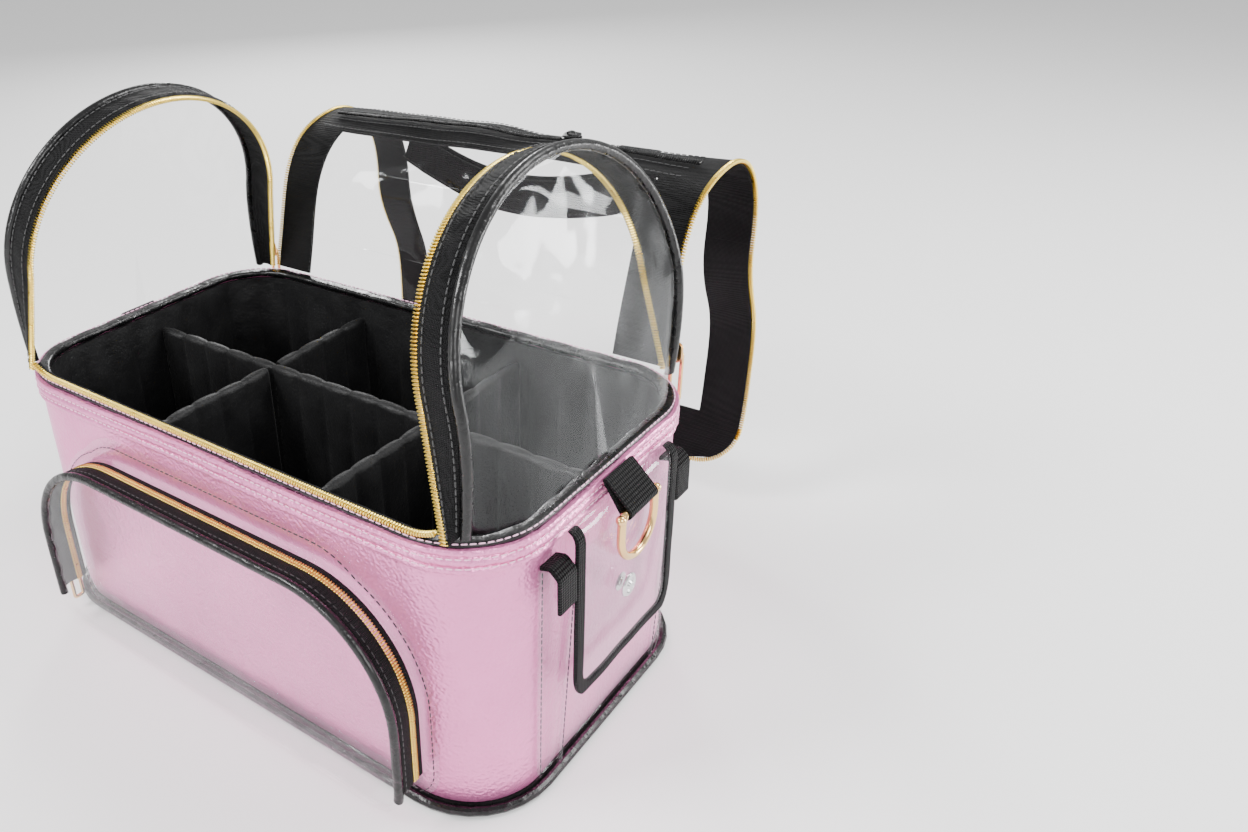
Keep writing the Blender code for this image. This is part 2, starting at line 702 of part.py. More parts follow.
# ---------------------------------------------------------------- the front pocket
def make_front_pocket():
    inner_flange = pocket_outline(-POCKET_FLANGE_INSIDE)
    flange = []
    for x, z in pocket_outline(POCKET_FLANGE_MARGIN):
        if z > POCKET_TOP - POCKET_TOP_RADIUS:
            grow = (z - POCKET_TOP + POCKET_TOP_RADIUS) / POCKET_TOP_RADIUS
            z += (POCKET_FLANGE_TOP_MARGIN - POCKET_FLANGE_MARGIN) * grow
        flange.append((x, max(z, POCKET_FLANGE_LOW)))
    face = -POCKET_BACK_Y - POCKET_FLANGE_THICKNESS
    prism("pocket_flange", flange, "Y", face, -POCKET_BACK_Y, "clear_vinyl", hole=inner_flange)
    outer, inner = ribbon(pocket_outline(0.0), TAPE_THICKNESS, closed=True)
    prism("pocket_gusset", outer, "Y", -POCKET_GUSSET_FRONT, -POCKET_GUSSET_BACK, "clear_vinyl",
          hole=inner)
    zip_line = pocket_zip_line()
    band("pocket_zip_teeth", zip_line, TEETH_THICKNESS, "Y", -POCKET_TEETH_FRONT,
         -POCKET_GUSSET_FRONT - GAP, "gold_teeth")
    floor_half = POCKET_HALF_WIDTH - POCKET_BOTTOM_RADIUS - POCKET_FLOOR_END
    floor = (
        (-floor_half, POCKET_BOTTOM - TAPE_THICKNESS / 2),
        (floor_half, POCKET_BOTTOM - TAPE_THICKNESS / 2),
        (floor_half, POCKET_BOTTOM + TAPE_THICKNESS / 2),
        (-floor_half, POCKET_BOTTOM + TAPE_THICKNESS / 2),
    )
    prism("pocket_floor", floor, "Y", -POCKET_TAPE_FRONT, -POCKET_GUSSET_FRONT - GAP, "clear_vinyl")
    hinge = joint_empty("pocket_flap_hinge", (0.0, -POCKET_PIPING_Y, POCKET_BOTTOM))
    back = POCKET_PIPING_Y
    face = pocket_outline(-POCKET_PIPING_RADIUS - GAP)
    face = [(x, z - POCKET_BOTTOM) for x, z in face]
    prism("pocket_front_panel", face, "Y", back - POCKET_PANEL_FRONT, back - POCKET_PANEL_BACK,
          "clear_vinyl", hinge)
    piping = [(x, 0.0, z - POCKET_BOTTOM) for x, z in pocket_outline(0.0)]
    tube("pocket_piping", piping, POCKET_PIPING_RADIUS, True, "black_piping", hinge)
    tape_line = [(x, z - POCKET_BOTTOM) for x, z in zip_line]
    band("pocket_zip_tape", tape_line, TAPE_THICKNESS, "Y", back - POCKET_TAPE_FRONT,
         back - POCKET_TEETH_FRONT - GAP, "black_nylon", hinge)


# ---------------------------------------------------------------- the side pockets
def side_point(sign, point):
    """X and Z of a place given by how far it stands off the case's side, and its height."""
    return sign * (CASE_WIDTH / 2 + point[0]), point[1]


def make_side_pocket(sign):
    """A clear pocket on the case's side, wider at its mouth, which is open at the top."""
    base = CASE_WIDTH / 2 + SIDE_POCKET_GAP
    wall = SIDE_POCKET_WALL
    foot = CASE_WIDTH / 2 + SIDE_POCKET_FOOT_DEPTH
    mouth = CASE_WIDTH / 2 + SIDE_POCKET_MOUTH_DEPTH
    half = SIDE_POCKET_HALF_LENGTH
    low = SIDE_POCKET_BOTTOM
    high = SIDE_POCKET_TOP
    shell = [(sign * base, low), (sign * foot, low), (sign * mouth, high), (sign * base, high)]
    name = side_name("side_pocket", sign)
    pocket = prism(name, shell, "Y", -half, half, "clear_vinyl")
    top = high + SIDE_POCKET_CUT_ABOVE
    slope = (mouth - foot) / (high - low)
    hollow = [
        (sign * (base + wall), low + wall),
        (sign * (foot - wall + slope * wall), low + wall),
        (sign * (mouth - wall + slope * SIDE_POCKET_CUT_ABOVE), top),
        (sign * (base + wall), top),
    ]
    cutter = prism(name + "_hollow", hollow, "Y", -half + wall, half - wall, "clear_vinyl")
    cutter.hide_render = True
    cutter.display_type = "WIRE"
    cut = pocket.modifiers.new("hollow", "BOOLEAN")
    cut.operation = "DIFFERENCE"
    cut.solver = "EXACT"
    cut.object = cutter
    stud_face = CASE_WIDTH / 2 + SIDE_POCKET_FOOT_DEPTH + slope * (SNAP_Z + SNAP_RADIUS - low)
    low, high = spread(sign * (stud_face + GAP), sign * (stud_face + GAP + STUD_THICKNESS))
    disc(side_name("snap_stud", sign), "X", (0.0, SNAP_Z), STUD_RADIUS, low, high, "silver_metal")


def make_side_flap(sign):
    """The clear flap over a side pocket, its black binding and its snap cap."""
    hinge_x, hinge_z = side_point(sign, SIDE_FLAP_HINGE)
    hinge = joint_empty(side_name("side_flap_hinge", sign), (hinge_x, 0.0, hinge_z))

    def local(point):
        x, z = side_point(sign, point)
        return (x - hinge_x, z - hinge_z)

    line = [(0.0, 0.0), local(SIDE_FLAP_SHOULDER), local(SIDE_FLAP_HEM)]
    half = SIDE_FLAP_HALF_LENGTH
    band(side_name("side_flap", sign), line, SIDE_FLAP_THICKNESS, "Y", -half, half, "clear_vinyl", hinge)
    shoulder = local(SIDE_FLAP_SHOULDER)
    hem = local(SIDE_FLAP_HEM)
    off = SIDE_FLAP_THICKNESS / 2 + GAP
    face = max(abs(shoulder[0]), abs(hem[0])) + off
    low, high = spread(sign * face, sign * (face + FLAP_BINDING_THICKNESS))
    top = shoulder[1] - FLAP_BINDING_BELOW_SHOULDER
    bottom = hem[1]
    wide = FLAP_BINDING_WIDTH
    outline = [
        (-half, top), (-half, bottom), (half, bottom), (half, top),
        (half - wide, top), (half - wide, bottom + wide),
        (-half + wide, bottom + wide), (-half + wide, top),
    ]
    prism(side_name("side_flap_binding", sign), outline, "X", low, high, "black_nylon", hinge)
    low, high = spread(sign * face, sign * (face + SNAP_THICKNESS))
    disc(side_name("snap_cap", sign), "X", (0.0, SNAP_Z - hinge_z), SNAP_RADIUS, low, high,
         "silver_metal", hinge)


def make_d_ring(sign):
    """A webbing loop sewn to the rim, and the D-ring that swings in its eye."""
    hinge_x, hinge_z = side_point(sign, STRAP_HINGE)
    hinge = joint_empty(side_name("strap_hinge", sign), (hinge_x, 0.0, hinge_z))
    pin_x, pin_z = side_point(sign, RING_PIN)
    pin = (pin_x - hinge_x, pin_z - hinge_z)
    down = math.degrees(math.atan2(pin[1], pin[0]))
    start = down - STRAP_EYE_HALF_ANGLE
    turn = down + STRAP_EYE_HALF_ANGLE
    outline = arc(pin, STRAP_EYE_RADIUS, start, turn, 10)
    outline += arc((0.0, 0.0), STRAP_RADIUS, turn, start + 360, 6)
    hole = arc(pin, RING_HOLE_RADIUS, start, start + 360, 16)[:-1]
    half = STRAP_WIDTH / 2
    prism(side_name("strap_loop", sign), outline, "Y", -half, half, "black_nylon", hinge, hole=hole)
    pivot = joint_empty(side_name("d_ring_pivot", sign), (pin[0], 0.0, pin[1]), hinge)
    wide = RING_HALF_WIDTH
    bend = RING_BEND
    points = arc((-wide + bend, -bend), bend, 180, 90, SMALL_CORNER_STEPS)
    points += arc((wide - bend, -bend), bend, 90, 0, SMALL_CORNER_STEPS)
    bow = RING_DROP - wide
    points += arc((0.0, -bow), wide, 0, -180, 14)
    ring = [(0.0, y, z) for y, z in points]
    tube(side_name("d_ring", sign), ring, RING_WIRE_RADIUS, True, "gold_metal", pivot)


# ---------------------------------------------------------------- build
for old in list(bpy.data.objects):
    bpy.data.objects.remove(old, do_unlink=True)

MATERIALS = {name: make_material(name) for name in COLOURS}

make_case()
make_liner()
make_dividers()
make_front_rim_zip()
make_cover()
make_front_pocket()
for side in (1, -1):
    make_end_panel(side)
    make_side_pocket(side)
    make_side_flap(side)
    make_d_ring(side)

BACK_SLIDER_Y = ARCH_BASE_HALF_DEPTH + TEETH_THICKNESS / 2 + GAP
for side in (1, -1):
    place_at = (side * BACK_SLIDER_X, BACK_SLIDER_Y, BACK_SLIDER_Z)
    make_slider(side_name("dome_zip", side), place_at, (0, 1, 0))
POCKET_SLIDER_X = POCKET_HALF_WIDTH + TEETH_THICKNESS / 2 + GAP
POCKET_SLIDER_Y = (POCKET_GUSSET_FRONT + POCKET_TEETH_FRONT) / 2
make_slider("pocket_zip", (-POCKET_SLIDER_X, -POCKET_SLIDER_Y, POCKET_SLIDER_Z), (-1, 0, 0))
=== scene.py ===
import json
import math

import bmesh
import bpy
from mathutils import Matrix, Vector, noise

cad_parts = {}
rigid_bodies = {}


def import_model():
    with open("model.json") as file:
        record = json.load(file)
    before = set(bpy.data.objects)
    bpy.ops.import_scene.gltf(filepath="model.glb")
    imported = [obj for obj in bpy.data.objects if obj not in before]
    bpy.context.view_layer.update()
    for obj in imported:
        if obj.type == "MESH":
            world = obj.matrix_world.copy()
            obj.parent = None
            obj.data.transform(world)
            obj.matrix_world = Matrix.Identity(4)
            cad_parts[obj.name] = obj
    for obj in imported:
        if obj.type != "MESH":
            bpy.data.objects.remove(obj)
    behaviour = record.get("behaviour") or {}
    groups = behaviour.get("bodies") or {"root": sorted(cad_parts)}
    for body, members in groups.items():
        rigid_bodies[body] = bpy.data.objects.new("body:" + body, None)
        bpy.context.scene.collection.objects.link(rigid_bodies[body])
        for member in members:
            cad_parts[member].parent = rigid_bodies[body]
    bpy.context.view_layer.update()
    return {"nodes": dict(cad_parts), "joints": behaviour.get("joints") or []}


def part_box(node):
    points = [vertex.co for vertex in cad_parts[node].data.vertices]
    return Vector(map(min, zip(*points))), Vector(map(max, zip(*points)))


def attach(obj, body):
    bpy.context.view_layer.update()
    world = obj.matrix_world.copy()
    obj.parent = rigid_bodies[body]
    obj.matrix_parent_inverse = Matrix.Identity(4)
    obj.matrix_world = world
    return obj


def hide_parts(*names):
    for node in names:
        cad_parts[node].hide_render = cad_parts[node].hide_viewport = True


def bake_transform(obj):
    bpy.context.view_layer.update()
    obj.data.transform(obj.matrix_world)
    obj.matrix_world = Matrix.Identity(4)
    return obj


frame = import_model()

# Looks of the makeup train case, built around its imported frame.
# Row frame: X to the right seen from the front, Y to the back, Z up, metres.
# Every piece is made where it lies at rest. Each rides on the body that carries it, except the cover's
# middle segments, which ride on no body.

JOINTS = {joint["name"]: joint for joint in frame["joints"]}
SIDES = (("right", 1), ("left", -1))
X_WAY = Vector((1.0, 0.0, 0.0))
Y_WAY = Vector((0.0, 1.0, 0.0))
Z_WAY = Vector((0.0, 0.0, 1.0))
HANDLE_BODY = JOINTS["handle_swing"]["parent"]

# ---------------------------------------------------------------- sizes read from the frame
HALF_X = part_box("base_shell")[1].x
HALF_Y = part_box("base_shell")[1].y
SHELL_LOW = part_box("base_shell")[0].z
WELT_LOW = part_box("rim_welt")[0].z
RIM_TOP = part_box("rim_welt")[1].z
TRAY_FLOOR = 0.0085
TRAY_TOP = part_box("liner_tray")[1].z
LIP_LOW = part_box("liner_lip")[0].z
LIP_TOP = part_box("liner_lip")[1].z
DIVIDER_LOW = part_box("long_divider")[0].z
DIVIDER_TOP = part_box("long_divider")[1].z

# ---------------------------------------------------------------- driving dimensions
CORNER_RADIUS = 0.042
WALL_THICK = 0.0012
PADDING_THICK = 0.0010
WELT_SEAM = 0.0024
TRAY_INSET = 0.0065
TRAY_RIM = 0.0024
RIB_PITCH = 0.0195
RIB_DEPTH = 0.0026
FLOOR_RINGS = 10
THREAD = 0.0005
STITCH_PITCH = 0.0036
STITCH_LENGTH = 0.0027
TEETH_PITCH = 0.0015
TOOTH_WIDTH = TEETH_PITCH * 0.72
SMALL_SHARP = 70.0
RING_WIRE_SWELL = 1.25
PIN_BALL = 0.0024
VINYL = 0.0008

ARCH_HINGE_X = JOINTS["end_wall_lean_right"]["pos_m"][0]
ARCH_HINGE_Z = JOINTS["end_wall_lean_right"]["pos_m"][2]
ARCH_LEAN = math.radians(13.0)
ARCH_LEG = 0.060
ARCH_CROWN = 0.077
ARCH_WAIST = 0.0870
ZIP_FOOT = 0.0930
PANEL_FOOT = 0.0865
CORNER_BOW = 0.0135
CORNER_INSET = 0.0025
TAPE_START = 0.0025
TAPE_END = 0.0175
TAPE_FOOT = 0.0040
TEETH_FOOT = 0.0055
SEAM_FOOT = 0.0090
ARCH_TEETH_LENGTH = 0.0042
ARCH_SEAMS = (0.0048, 0.0142)

FRONT_ZIP_HALF = 0.1385
FRONT_ZIP_CLIMB = 0.016
FRONT_ZIP_Y = -0.0930

COVER_EDGE = 0.1388
COVER_BAND = 0.1120
COVER_CORNER = 0.026
COVER_THICK = 0.0018
COVER_TEETH_LENGTH = 0.0030
COVER_TEETH_OUT = 0.0010
COVER_FRONT_BAND = 0.030
RIDGE_BAND = 0.034
LID_ZIP_INSET = 0.012
LID_SEAMS = (-0.0145, -0.0060, 0.0060, 0.0145)
COIL_PITCH = 0.0013
RIDGE_STRIP = 3
SEGMENT_ROWS = 8
MIDDLE_COLUMNS = 24
BAND_COLUMNS = 4

HANDLE_BOW = 0.0205
HANDLE_ANCHOR = 0.024
HANDLE_SEAMS = (-0.0105, 0.0105)

POCKET_TOP_RADIUS = 0.058
POCKET_BOTTOM_RADIUS = 0.016
POCKET_HALF = 0.1285
POCKET_LOW = 0.0080
POCKET_HIGH = 0.1180
POCKET_TAPE = 0.0014
POCKET_BACK = -0.0960
POCKET_ZIP_BACK = -0.1020
POCKET_ZIP_FRONT = -0.1052
POCKET_PIPING_Y = JOINTS["pocket_flap_open"]["pos_m"][1]

SIDE_POCKET_FOOT = 0.0029
MOUTH_BINDING_INSET = 0.0075
STRAP_HALF = 0.0122

# ---------------------------------------------------------------- materials


def shader_of(material):
    return material.node_tree.nodes["Principled BSDF"]


def new_material(name, colour, roughness, metallic=0.0, **values):
    """A Principled material with constants set on its own sockets."""
    material = bpy.data.materials.new(name)
    material.use_nodes = True
    shader = shader_of(material)
    shader.inputs["Base Color"].default_value = (*colour, 1.0)
    shader.inputs["Roughness"].default_value = roughness
    shader.inputs["Metallic"].default_value = metallic
    for socket, value in values.items():
        shader.inputs[socket.replace("_", " ")].default_value = value
    return material


def texture(material, kind, scale, **values):
    """A texture node in the object's own space, in which one unit is a metre."""
    nodes = material.node_tree.nodes
    place = nodes.new("ShaderNodeTexCoord")
    node = nodes.new(kind)
    node.inputs["Scale"].default_value = scale
    for socket, value in values.items():
        if socket in node.inputs:
            node.inputs[socket].default_value = value
        else:
            setattr(node, socket, value)
    material.node_tree.links.new(place.outputs["Object"], node.inputs["Vector"])
    return node


def add_bump(material, output, distance):
    """Adds a bump on top of any that the material has."""
    nodes = material.node_tree.nodes
    links = material.node_tree.links
    bump = nodes.new("ShaderNodeBump")
    bump.inputs["Distance"].default_value = distance
    links.new(output, bump.inputs["Height"])
    normal = shader_of(material).inputs["Normal"]
    if normal.links:
        links.new(normal.links[0].from_socket, bump.inputs["Normal"])
    links.new(bump.outputs["Normal"], normal)


def vary(material, socket, output, low, high):
    """Drives a socket between two values, or two colours, by a texture."""
    nodes = material.node_tree.nodes
    ramp = nodes.new("ShaderNodeValToRGB")
    ramp.color_ramp.elements[0].position = 0.3
    ramp.color_ramp.elements[1].position = 0.7
    low = low if isinstance(low, tuple) else (low, low, low)
    high = high if isinstance(high, tuple) else (high, high, high)
    ramp.color_ramp.elements[0].color = (*low, 1.0)
    ramp.color_ramp.elements[1].color = (*high, 1.0)
    material.node_tree.links.new(output, ramp.inputs["Fac"])
    material.node_tree.links.new(ramp.outputs["Color"], shader_of(material).inputs[socket])


def make_pink(name, colour, pebble):
    material = new_material(name, colour, 0.34, 0.62, Coat_Weight=0.15, Coat_Roughness=0.25)
    grain = texture(material, "ShaderNodeTexVoronoi", 620.0, feature="SMOOTH_F1")
    add_bump(material, grain.outputs["Distance"], pebble)
    creases = texture(material, "ShaderNodeTexNoise", 95.0, Detail=5.0)
    add_bump(material, creases.outputs["Fac"], 0.0003)
    shade = texture(material, "ShaderNodeTexNoise", 18.0, Detail=3.0)
    darker = tuple(part * 0.86 for part in colour)
    vary(material, "Base Color", shade.outputs["Fac"], darker, colour)
    vary(material, "Roughness", creases.outputs["Fac"], 0.28, 0.44)
    return material


def make_woven(name, colour, scale, depth, sheen):
    """Woven nylon: ribs across all three axes and a little unevenness."""
    material = new_material(
        name, colour, 0.62, 0.0, Sheen_Weight=sheen, Sheen_Roughness=0.5, Specular_IOR_Level=0.12,
    )
    for axis in ("X", "Y", "Z"):
        ribs = texture(material, "ShaderNodeTexWave", scale, bands_direction=axis, Distortion=0.4)
        add_bump(material, ribs.outputs["Fac"], depth)
    shade = texture(material, "ShaderNodeTexNoise", 60.0, Detail=4.0)
    vary(material, "Base Color", shade.outputs["Fac"], colour, tuple(part * 1.9 for part in colour))
    return material


def make_liner_cloth():
    material = new_material(
        "liner_cloth", (0.0040, 0.0040, 0.0044), 0.5, 0.0, Sheen_Weight=0.04, Specular_IOR_Level=0.25,
    )
    grain = texture(material, "ShaderNodeTexNoise", 900.0, Detail=3.0)
    add_bump(material, grain.outputs["Fac"], 0.0003)
    folds = texture(material, "ShaderNodeTexNoise", 55.0, Detail=4.0)
    add_bump(material, folds.outputs["Fac"], 0.0018)
    vary(material, "Roughness", folds.outputs["Fac"], 0.38, 0.6)
    return material


def make_vinyl_cord():
    material = new_material("black_cord", (0.0028, 0.0028, 0.0031), 0.30, 0.0, Specular_IOR_Level=0.4)
    puckers = texture(material, "ShaderNodeTexNoise", 160.0, Detail=3.0)
    add_bump(material, puckers.outputs["Fac"], 0.0008)
    vary(material, "Roughness", puckers.outputs["Fac"], 0.20, 0.38)
    return material


def make_clear(name, haze, ripple):
    """Clear vinyl: see-through face on, mirror-like edge on, with ripples that break up the gloss."""
    material = new_material(name, (0.93, 0.95, 0.96), 0.06, 1.0)
    nodes = material.node_tree.nodes
    links = material.node_tree.links
    waves = texture(material, "ShaderNodeTexNoise", 22.0, Detail=0.6, Distortion=1.0)
    add_bump(material, waves.outputs["Fac"], ripple)
    cloud = texture(material, "ShaderNodeTexNoise", 11.0, Detail=2.0)
    vary(material, "Roughness", cloud.outputs["Fac"], 0.04, 0.12)
    facing = nodes.new("ShaderNodeLayerWeight")
    facing.inputs["Blend"].default_value = 0.5
    steep = nodes.new("ShaderNodeMath")
    steep.operation = "POWER"
    steep.inputs[1].default_value = 4.0
    links.new(facing.outputs["Facing"], steep.inputs[0])
    glaze = nodes.new("ShaderNodeMath")
    glaze.operation = "MULTIPLY_ADD"
    glaze.inputs[1].default_value = 0.28
    glaze.inputs[2].default_value = haze
    links.new(steep.outputs[0], glaze.inputs[0])
    links.new(glaze.outputs[0], shader_of(material).inputs["Alpha"])
    return material


def make_metal(name, colour, roughness):
    material = new_material(name, colour, roughness, 1.0)
    wear = texture(material, "ShaderNodeTexNoise", 260.0, Detail=4.0)
    add_bump(material, wear.outputs["Fac"], 0.00012)
    vary(material, "Roughness", wear.outputs["Fac"], roughness * 0.8, roughness * 1.35)
    return material


def make_thread(name, colour):
    material = new_material(name, colour, 0.55, 0.0, Sheen_Weight=0.2)
    twist = texture(material, "ShaderNodeTexNoise", 1500.0, Detail=2.0)
    add_bump(material, twist.outputs["Fac"], 0.0002)
    return material


LOOKS = {
    "pink": (make_pink("pink_leather_look", (0.86, 0.25, 0.53), 0.0005), "pink_leather"),
    "nylon": (make_woven("black_nylon_look", (0.0028, 0.0028, 0.0031), 420.0, 0.0003, 0.02), "black_nylon"),
    "webbing": (make_woven("webbing_look", (0.0032, 0.0032, 0.0035), 230.0, 0.0005, 0.02), "black_nylon"),
    "liner": (make_liner_cloth(), "black_liner"),
    "cord": (make_vinyl_cord(), "black_piping"),
    "clear": (make_clear("clear_vinyl_look", 0.013, 0.0045), "clear_vinyl"),
    "clear_tight": (make_clear("clear_pocket_look", 0.026, 0.0022), "clear_vinyl"),
    "teeth": (make_metal("gold_teeth_look", (0.80, 0.60, 0.13), 0.30), "gold_teeth"),
    "gold": (make_metal("gold_metal_look", (0.86, 0.56, 0.24), 0.16), "gold_metal"),
    "silver": (make_metal("silver_metal_look", (0.72, 0.72, 0.73), 0.18), "silver_metal"),
    "pink_thread": (make_thread("pink_thread_look", (0.90, 0.50, 0.70)), "pink_leather"),
    "black_thread": (make_thread("black_thread_look", (0.012, 0.012, 0.013)), "black_nylon"),
}

# ---------------------------------------------------------------- lines in a plane


def arc(centre, radius, start, end, steps):
    """Points on an arc in degrees, both ends included."""
    points = []
    for i in range(steps + 1):
        angle = math.radians(start + (end - start) * i / steps)
        points.append((centre[0] + radius * math.cos(angle), centre[1] + radius * math.sin(angle)))
    return points


def round_box(half_u, half_v, radius, steps=8):
    """A counter-clockwise rounded rectangle about the origin."""
    points = []
    for sign_u, sign_v, start in ((1, 1, 0), (-1, 1, 90), (-1, -1, 180), (1, -1, 270)):
        centre = (sign_u * (half_u - radius), sign_v * (half_v - radius))
        points += arc(centre, radius, start, start + 90, steps)
    return points


def case_line(offset):
    """The case's outline in plan, moved out by offset."""
    return round_box(HALF_X + offset, HALF_Y + offset, CORNER_RADIUS + offset, 14)


def spaced(points, step, closed=False):
    """Points evenly spaced along a line, about step apart."""
    line = list(points)
    if closed:
        line.append(points[0])
    reach = [0.0]
    for a, b in zip(line, line[1:]):
        reach.append(reach[-1] + math.dist(a, b))
    count = max(2, round(reach[-1] / step))
    found = []
    at = 0
    for i in range(count if closed else count + 1):
        goal = reach[-1] * i / count
        while at < len(line) - 2 and reach[at + 1] < goal:
            at += 1
        span = reach[at + 1] - reach[at]
        t = (goal - reach[at]) / span if span else 0.0
        found.append(tuple(p + (q - p) * t for p, q in zip(line[at], line[at + 1])))
    return found


def outward(points, closed):
    """The unit normal at each point, to the right of the way that the line runs."""
    count = len(points)
    found = []
    for i in range(count):
        before = points[i - 1] if closed else points[max(i - 1, 0)]
        after = points[(i + 1) % count] if closed else points[min(i + 1, count - 1)]
        length = math.dist(before, after) or 1.0
        found.append(((after[1] - before[1]) / length, -(after[0] - before[0]) / length))
    return found


def curve(start, bend, end, t):
    """A point on the smooth bend from start to end."""
    return start.lerp(bend, t).lerp(bend.lerp(end, t), t)


def round_section(half_a, half_b, radius, centre=(0.0, 0.0), steps=3):
    """A rounded bar's cross-section: across the line, and along the swept plane's axis."""
    return [(centre[0] + a, centre[1] + b) for a, b in round_box(half_a, half_b, radius, steps)]


# ---------------------------------------------------------------- meshes
def piece(name, bm, look, body, sharp=50.0):
    """Turns a bmesh into a finished piece that rides on its body."""
    bmesh.ops.recalc_face_normals(bm, faces=bm.faces)
    mesh = bpy.data.meshes.new(name)
    bm.to_mesh(mesh)
    bm.free()
    mesh.materials.append(LOOKS[look][0])
    mesh.shade_smooth()
    mesh.set_sharp_from_angle(angle=math.radians(sharp))
    thing = bpy.data.objects.new(name, mesh)
    bpy.context.scene.collection.objects.link(thing)
    if body is not None:
        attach(thing, body)
    return thing


def add_rows(bm, rows):
    """Vertices at rows of points."""
    return [[bm.verts.new(point) for point in row] for row in rows]


def join_rings(bm, rings):
    """A band of faces between each closed ring of vertices and the next."""
    for row, after in zip(rings, rings[1:]):
        for i in range(len(row)):
            j = (i + 1) % len(row)
            bm.faces.new((row[i], row[j], after[j], after[i]))


def add_loft(bm, rows, closed):
    """Skins closed cross-sections, round to the first one or capped at both ends."""
    made = add_rows(bm, rows)
    join_rings(bm, made + made[:1] if closed else made)
    if not closed:
        bm.faces.new(made[0])
        bm.faces.new(made[-1])


def sweep(name, path, section, place, look, body, closed=False):
    """Sweeps a cross-section along a line in a plane. section is a list or a function of distance."""
    rows = []
    distance = 0.0
    for i, ((u, v), (n_u, n_v)) in enumerate(zip(path, outward(path, closed))):
        if i:
            distance += math.dist(path[i - 1], path[i])
        shape = section(distance) if callable(section) else section
        rows.append([place(u + n_u * a, v + n_v * a, b) for a, b in shape])
    bm = bmesh.new()
    add_loft(bm, rows, closed)
    return piece(name, bm, look, body)


def back_skin(bm, thickness):
    """Makes a skin's faces agree on their outer side, and thickens it away from that side."""
    bmesh.ops.recalc_face_normals(bm, faces=bm.faces)
    thicken(bm, thickness)


def thicken(bm, thickness):
    """Gives an open skin a second face under it and joins the two round every open edge."""
    bm.normal_update()
    under = {vert: bm.verts.new(vert.co - vert.normal * thickness) for vert in bm.verts[:]}
    rim = [(edge, edge.link_loops[0]) for edge in bm.edges if len(edge.link_faces) == 1]
    sides = [(loop.vert, loop.link_loop_next.vert) for _, loop in rim]
    for face in bm.faces[:]:
        bm.faces.new([under[vert] for vert in reversed(face.verts[:])])
    for start, end in sides:
        bm.faces.new((end, start, under[start], under[end]))


def sheet(name, grid, thickness, look, body, keep=None):
    """A thin sheet through a grid of points. keep(row, column) says which of its squares are there."""
    bm = bmesh.new()
    made = add_rows(bm, grid)
    for i in range(len(made) - 1):
        for j in range(len(made[0]) - 1):
            if keep is None or keep(i, j):
                bm.faces.new((made[i][j], made[i][j + 1], made[i + 1][j + 1], made[i + 1][j]))
    loose = [vert for vert in bm.verts if not vert.link_faces]
    bmesh.ops.delete(bm, geom=loose, context="VERTS")
    thicken(bm, thickness)
    return piece(name, bm, look, body)


def add_bar(bm, centre, long, across, length, wide, thick):
    """A small rounded bar with tapered ends: one tooth or one stitch."""
    long = long.normalized()
    third = long.cross(across).normalized()
    across = third.cross(long)
    rows = []
    for reach, share in ((-0.5, 0.55), (-0.36, 1.0), (0.36, 1.0), (0.5, 0.55)):
        row = []
        for i in range(6):
            angle = math.radians(60 * i + 30)
            side = across * (math.cos(angle) * wide / 2 * share)
            up = third * (math.sin(angle) * thick / 2 * share)
            row.append(centre + long * (length * reach) + side + up)
        rows.append(row)
    add_loft(bm, rows, False)


def places_along(path, pitch, place, a, b, closed=False):
    """Centre, way along and way across at each step of a line."""
    points = spaced(path, pitch, closed)
    found = []
    for (u, v), (n_u, n_v) in zip(points, outward(points, closed)):
        at = (u + n_u * a, v + n_v * a)
        centre = place(at[0], at[1], b)
        ahead = place(at[0] - n_v * 0.0002, at[1] + n_u * 0.0002, b)
        beside = place(at[0], at[1], b + 0.0002)
        found.append((centre, (ahead - centre).normalized(), (beside - centre).normalized()))
    return found


def teeth(name, places, body, length=0.0034, thick=0.0022):
    """One zip tooth at each place, lying across the line."""
    bm = bmesh.new()
    for centre, along, across in places:
        add_bar(bm, centre, across, along, length, TOOTH_WIDTH, thick)
    return piece(name, bm, "teeth", body, SMALL_SHARP)


def stitches(name, places, look, body):
    """One stitch at each place, lying along the line."""
    bm = bmesh.new()
    for centre, along, across in places:
        add_bar(bm, centre, along, across, STITCH_LENGTH, THREAD * 1.5, THREAD)
    return piece(name, bm, look, body, SMALL_SHARP)


def seam(name, path, place, a, b, look, body, closed=False):
    """A row of stitches along a line."""
    stitches(name, places_along(path, STITCH_PITCH, place, a, b, closed), look, body)


def zip_row(name, path, place, b, body, *sizes):
    """A row of zip teeth along a line."""
    return teeth(name, places_along(path, TEETH_PITCH, place, 0.0, b), body, *sizes)


def in_plan(u, v, w):
    return Vector((u, v, w))


def facing_front(u, v, w):
    return Vector((u, w, v))


def across_case(flat):
    """A direction or place in Y and Z as one in space."""
    return Vector((0.0, flat.x, flat.y))


def facing_name(sign):
    return "back" if sign > 0 else "front"


def ripple(point, scale, size):
    """A smooth, repeatable unevenness."""
    return size * noise.noise(Vector(point) * scale)


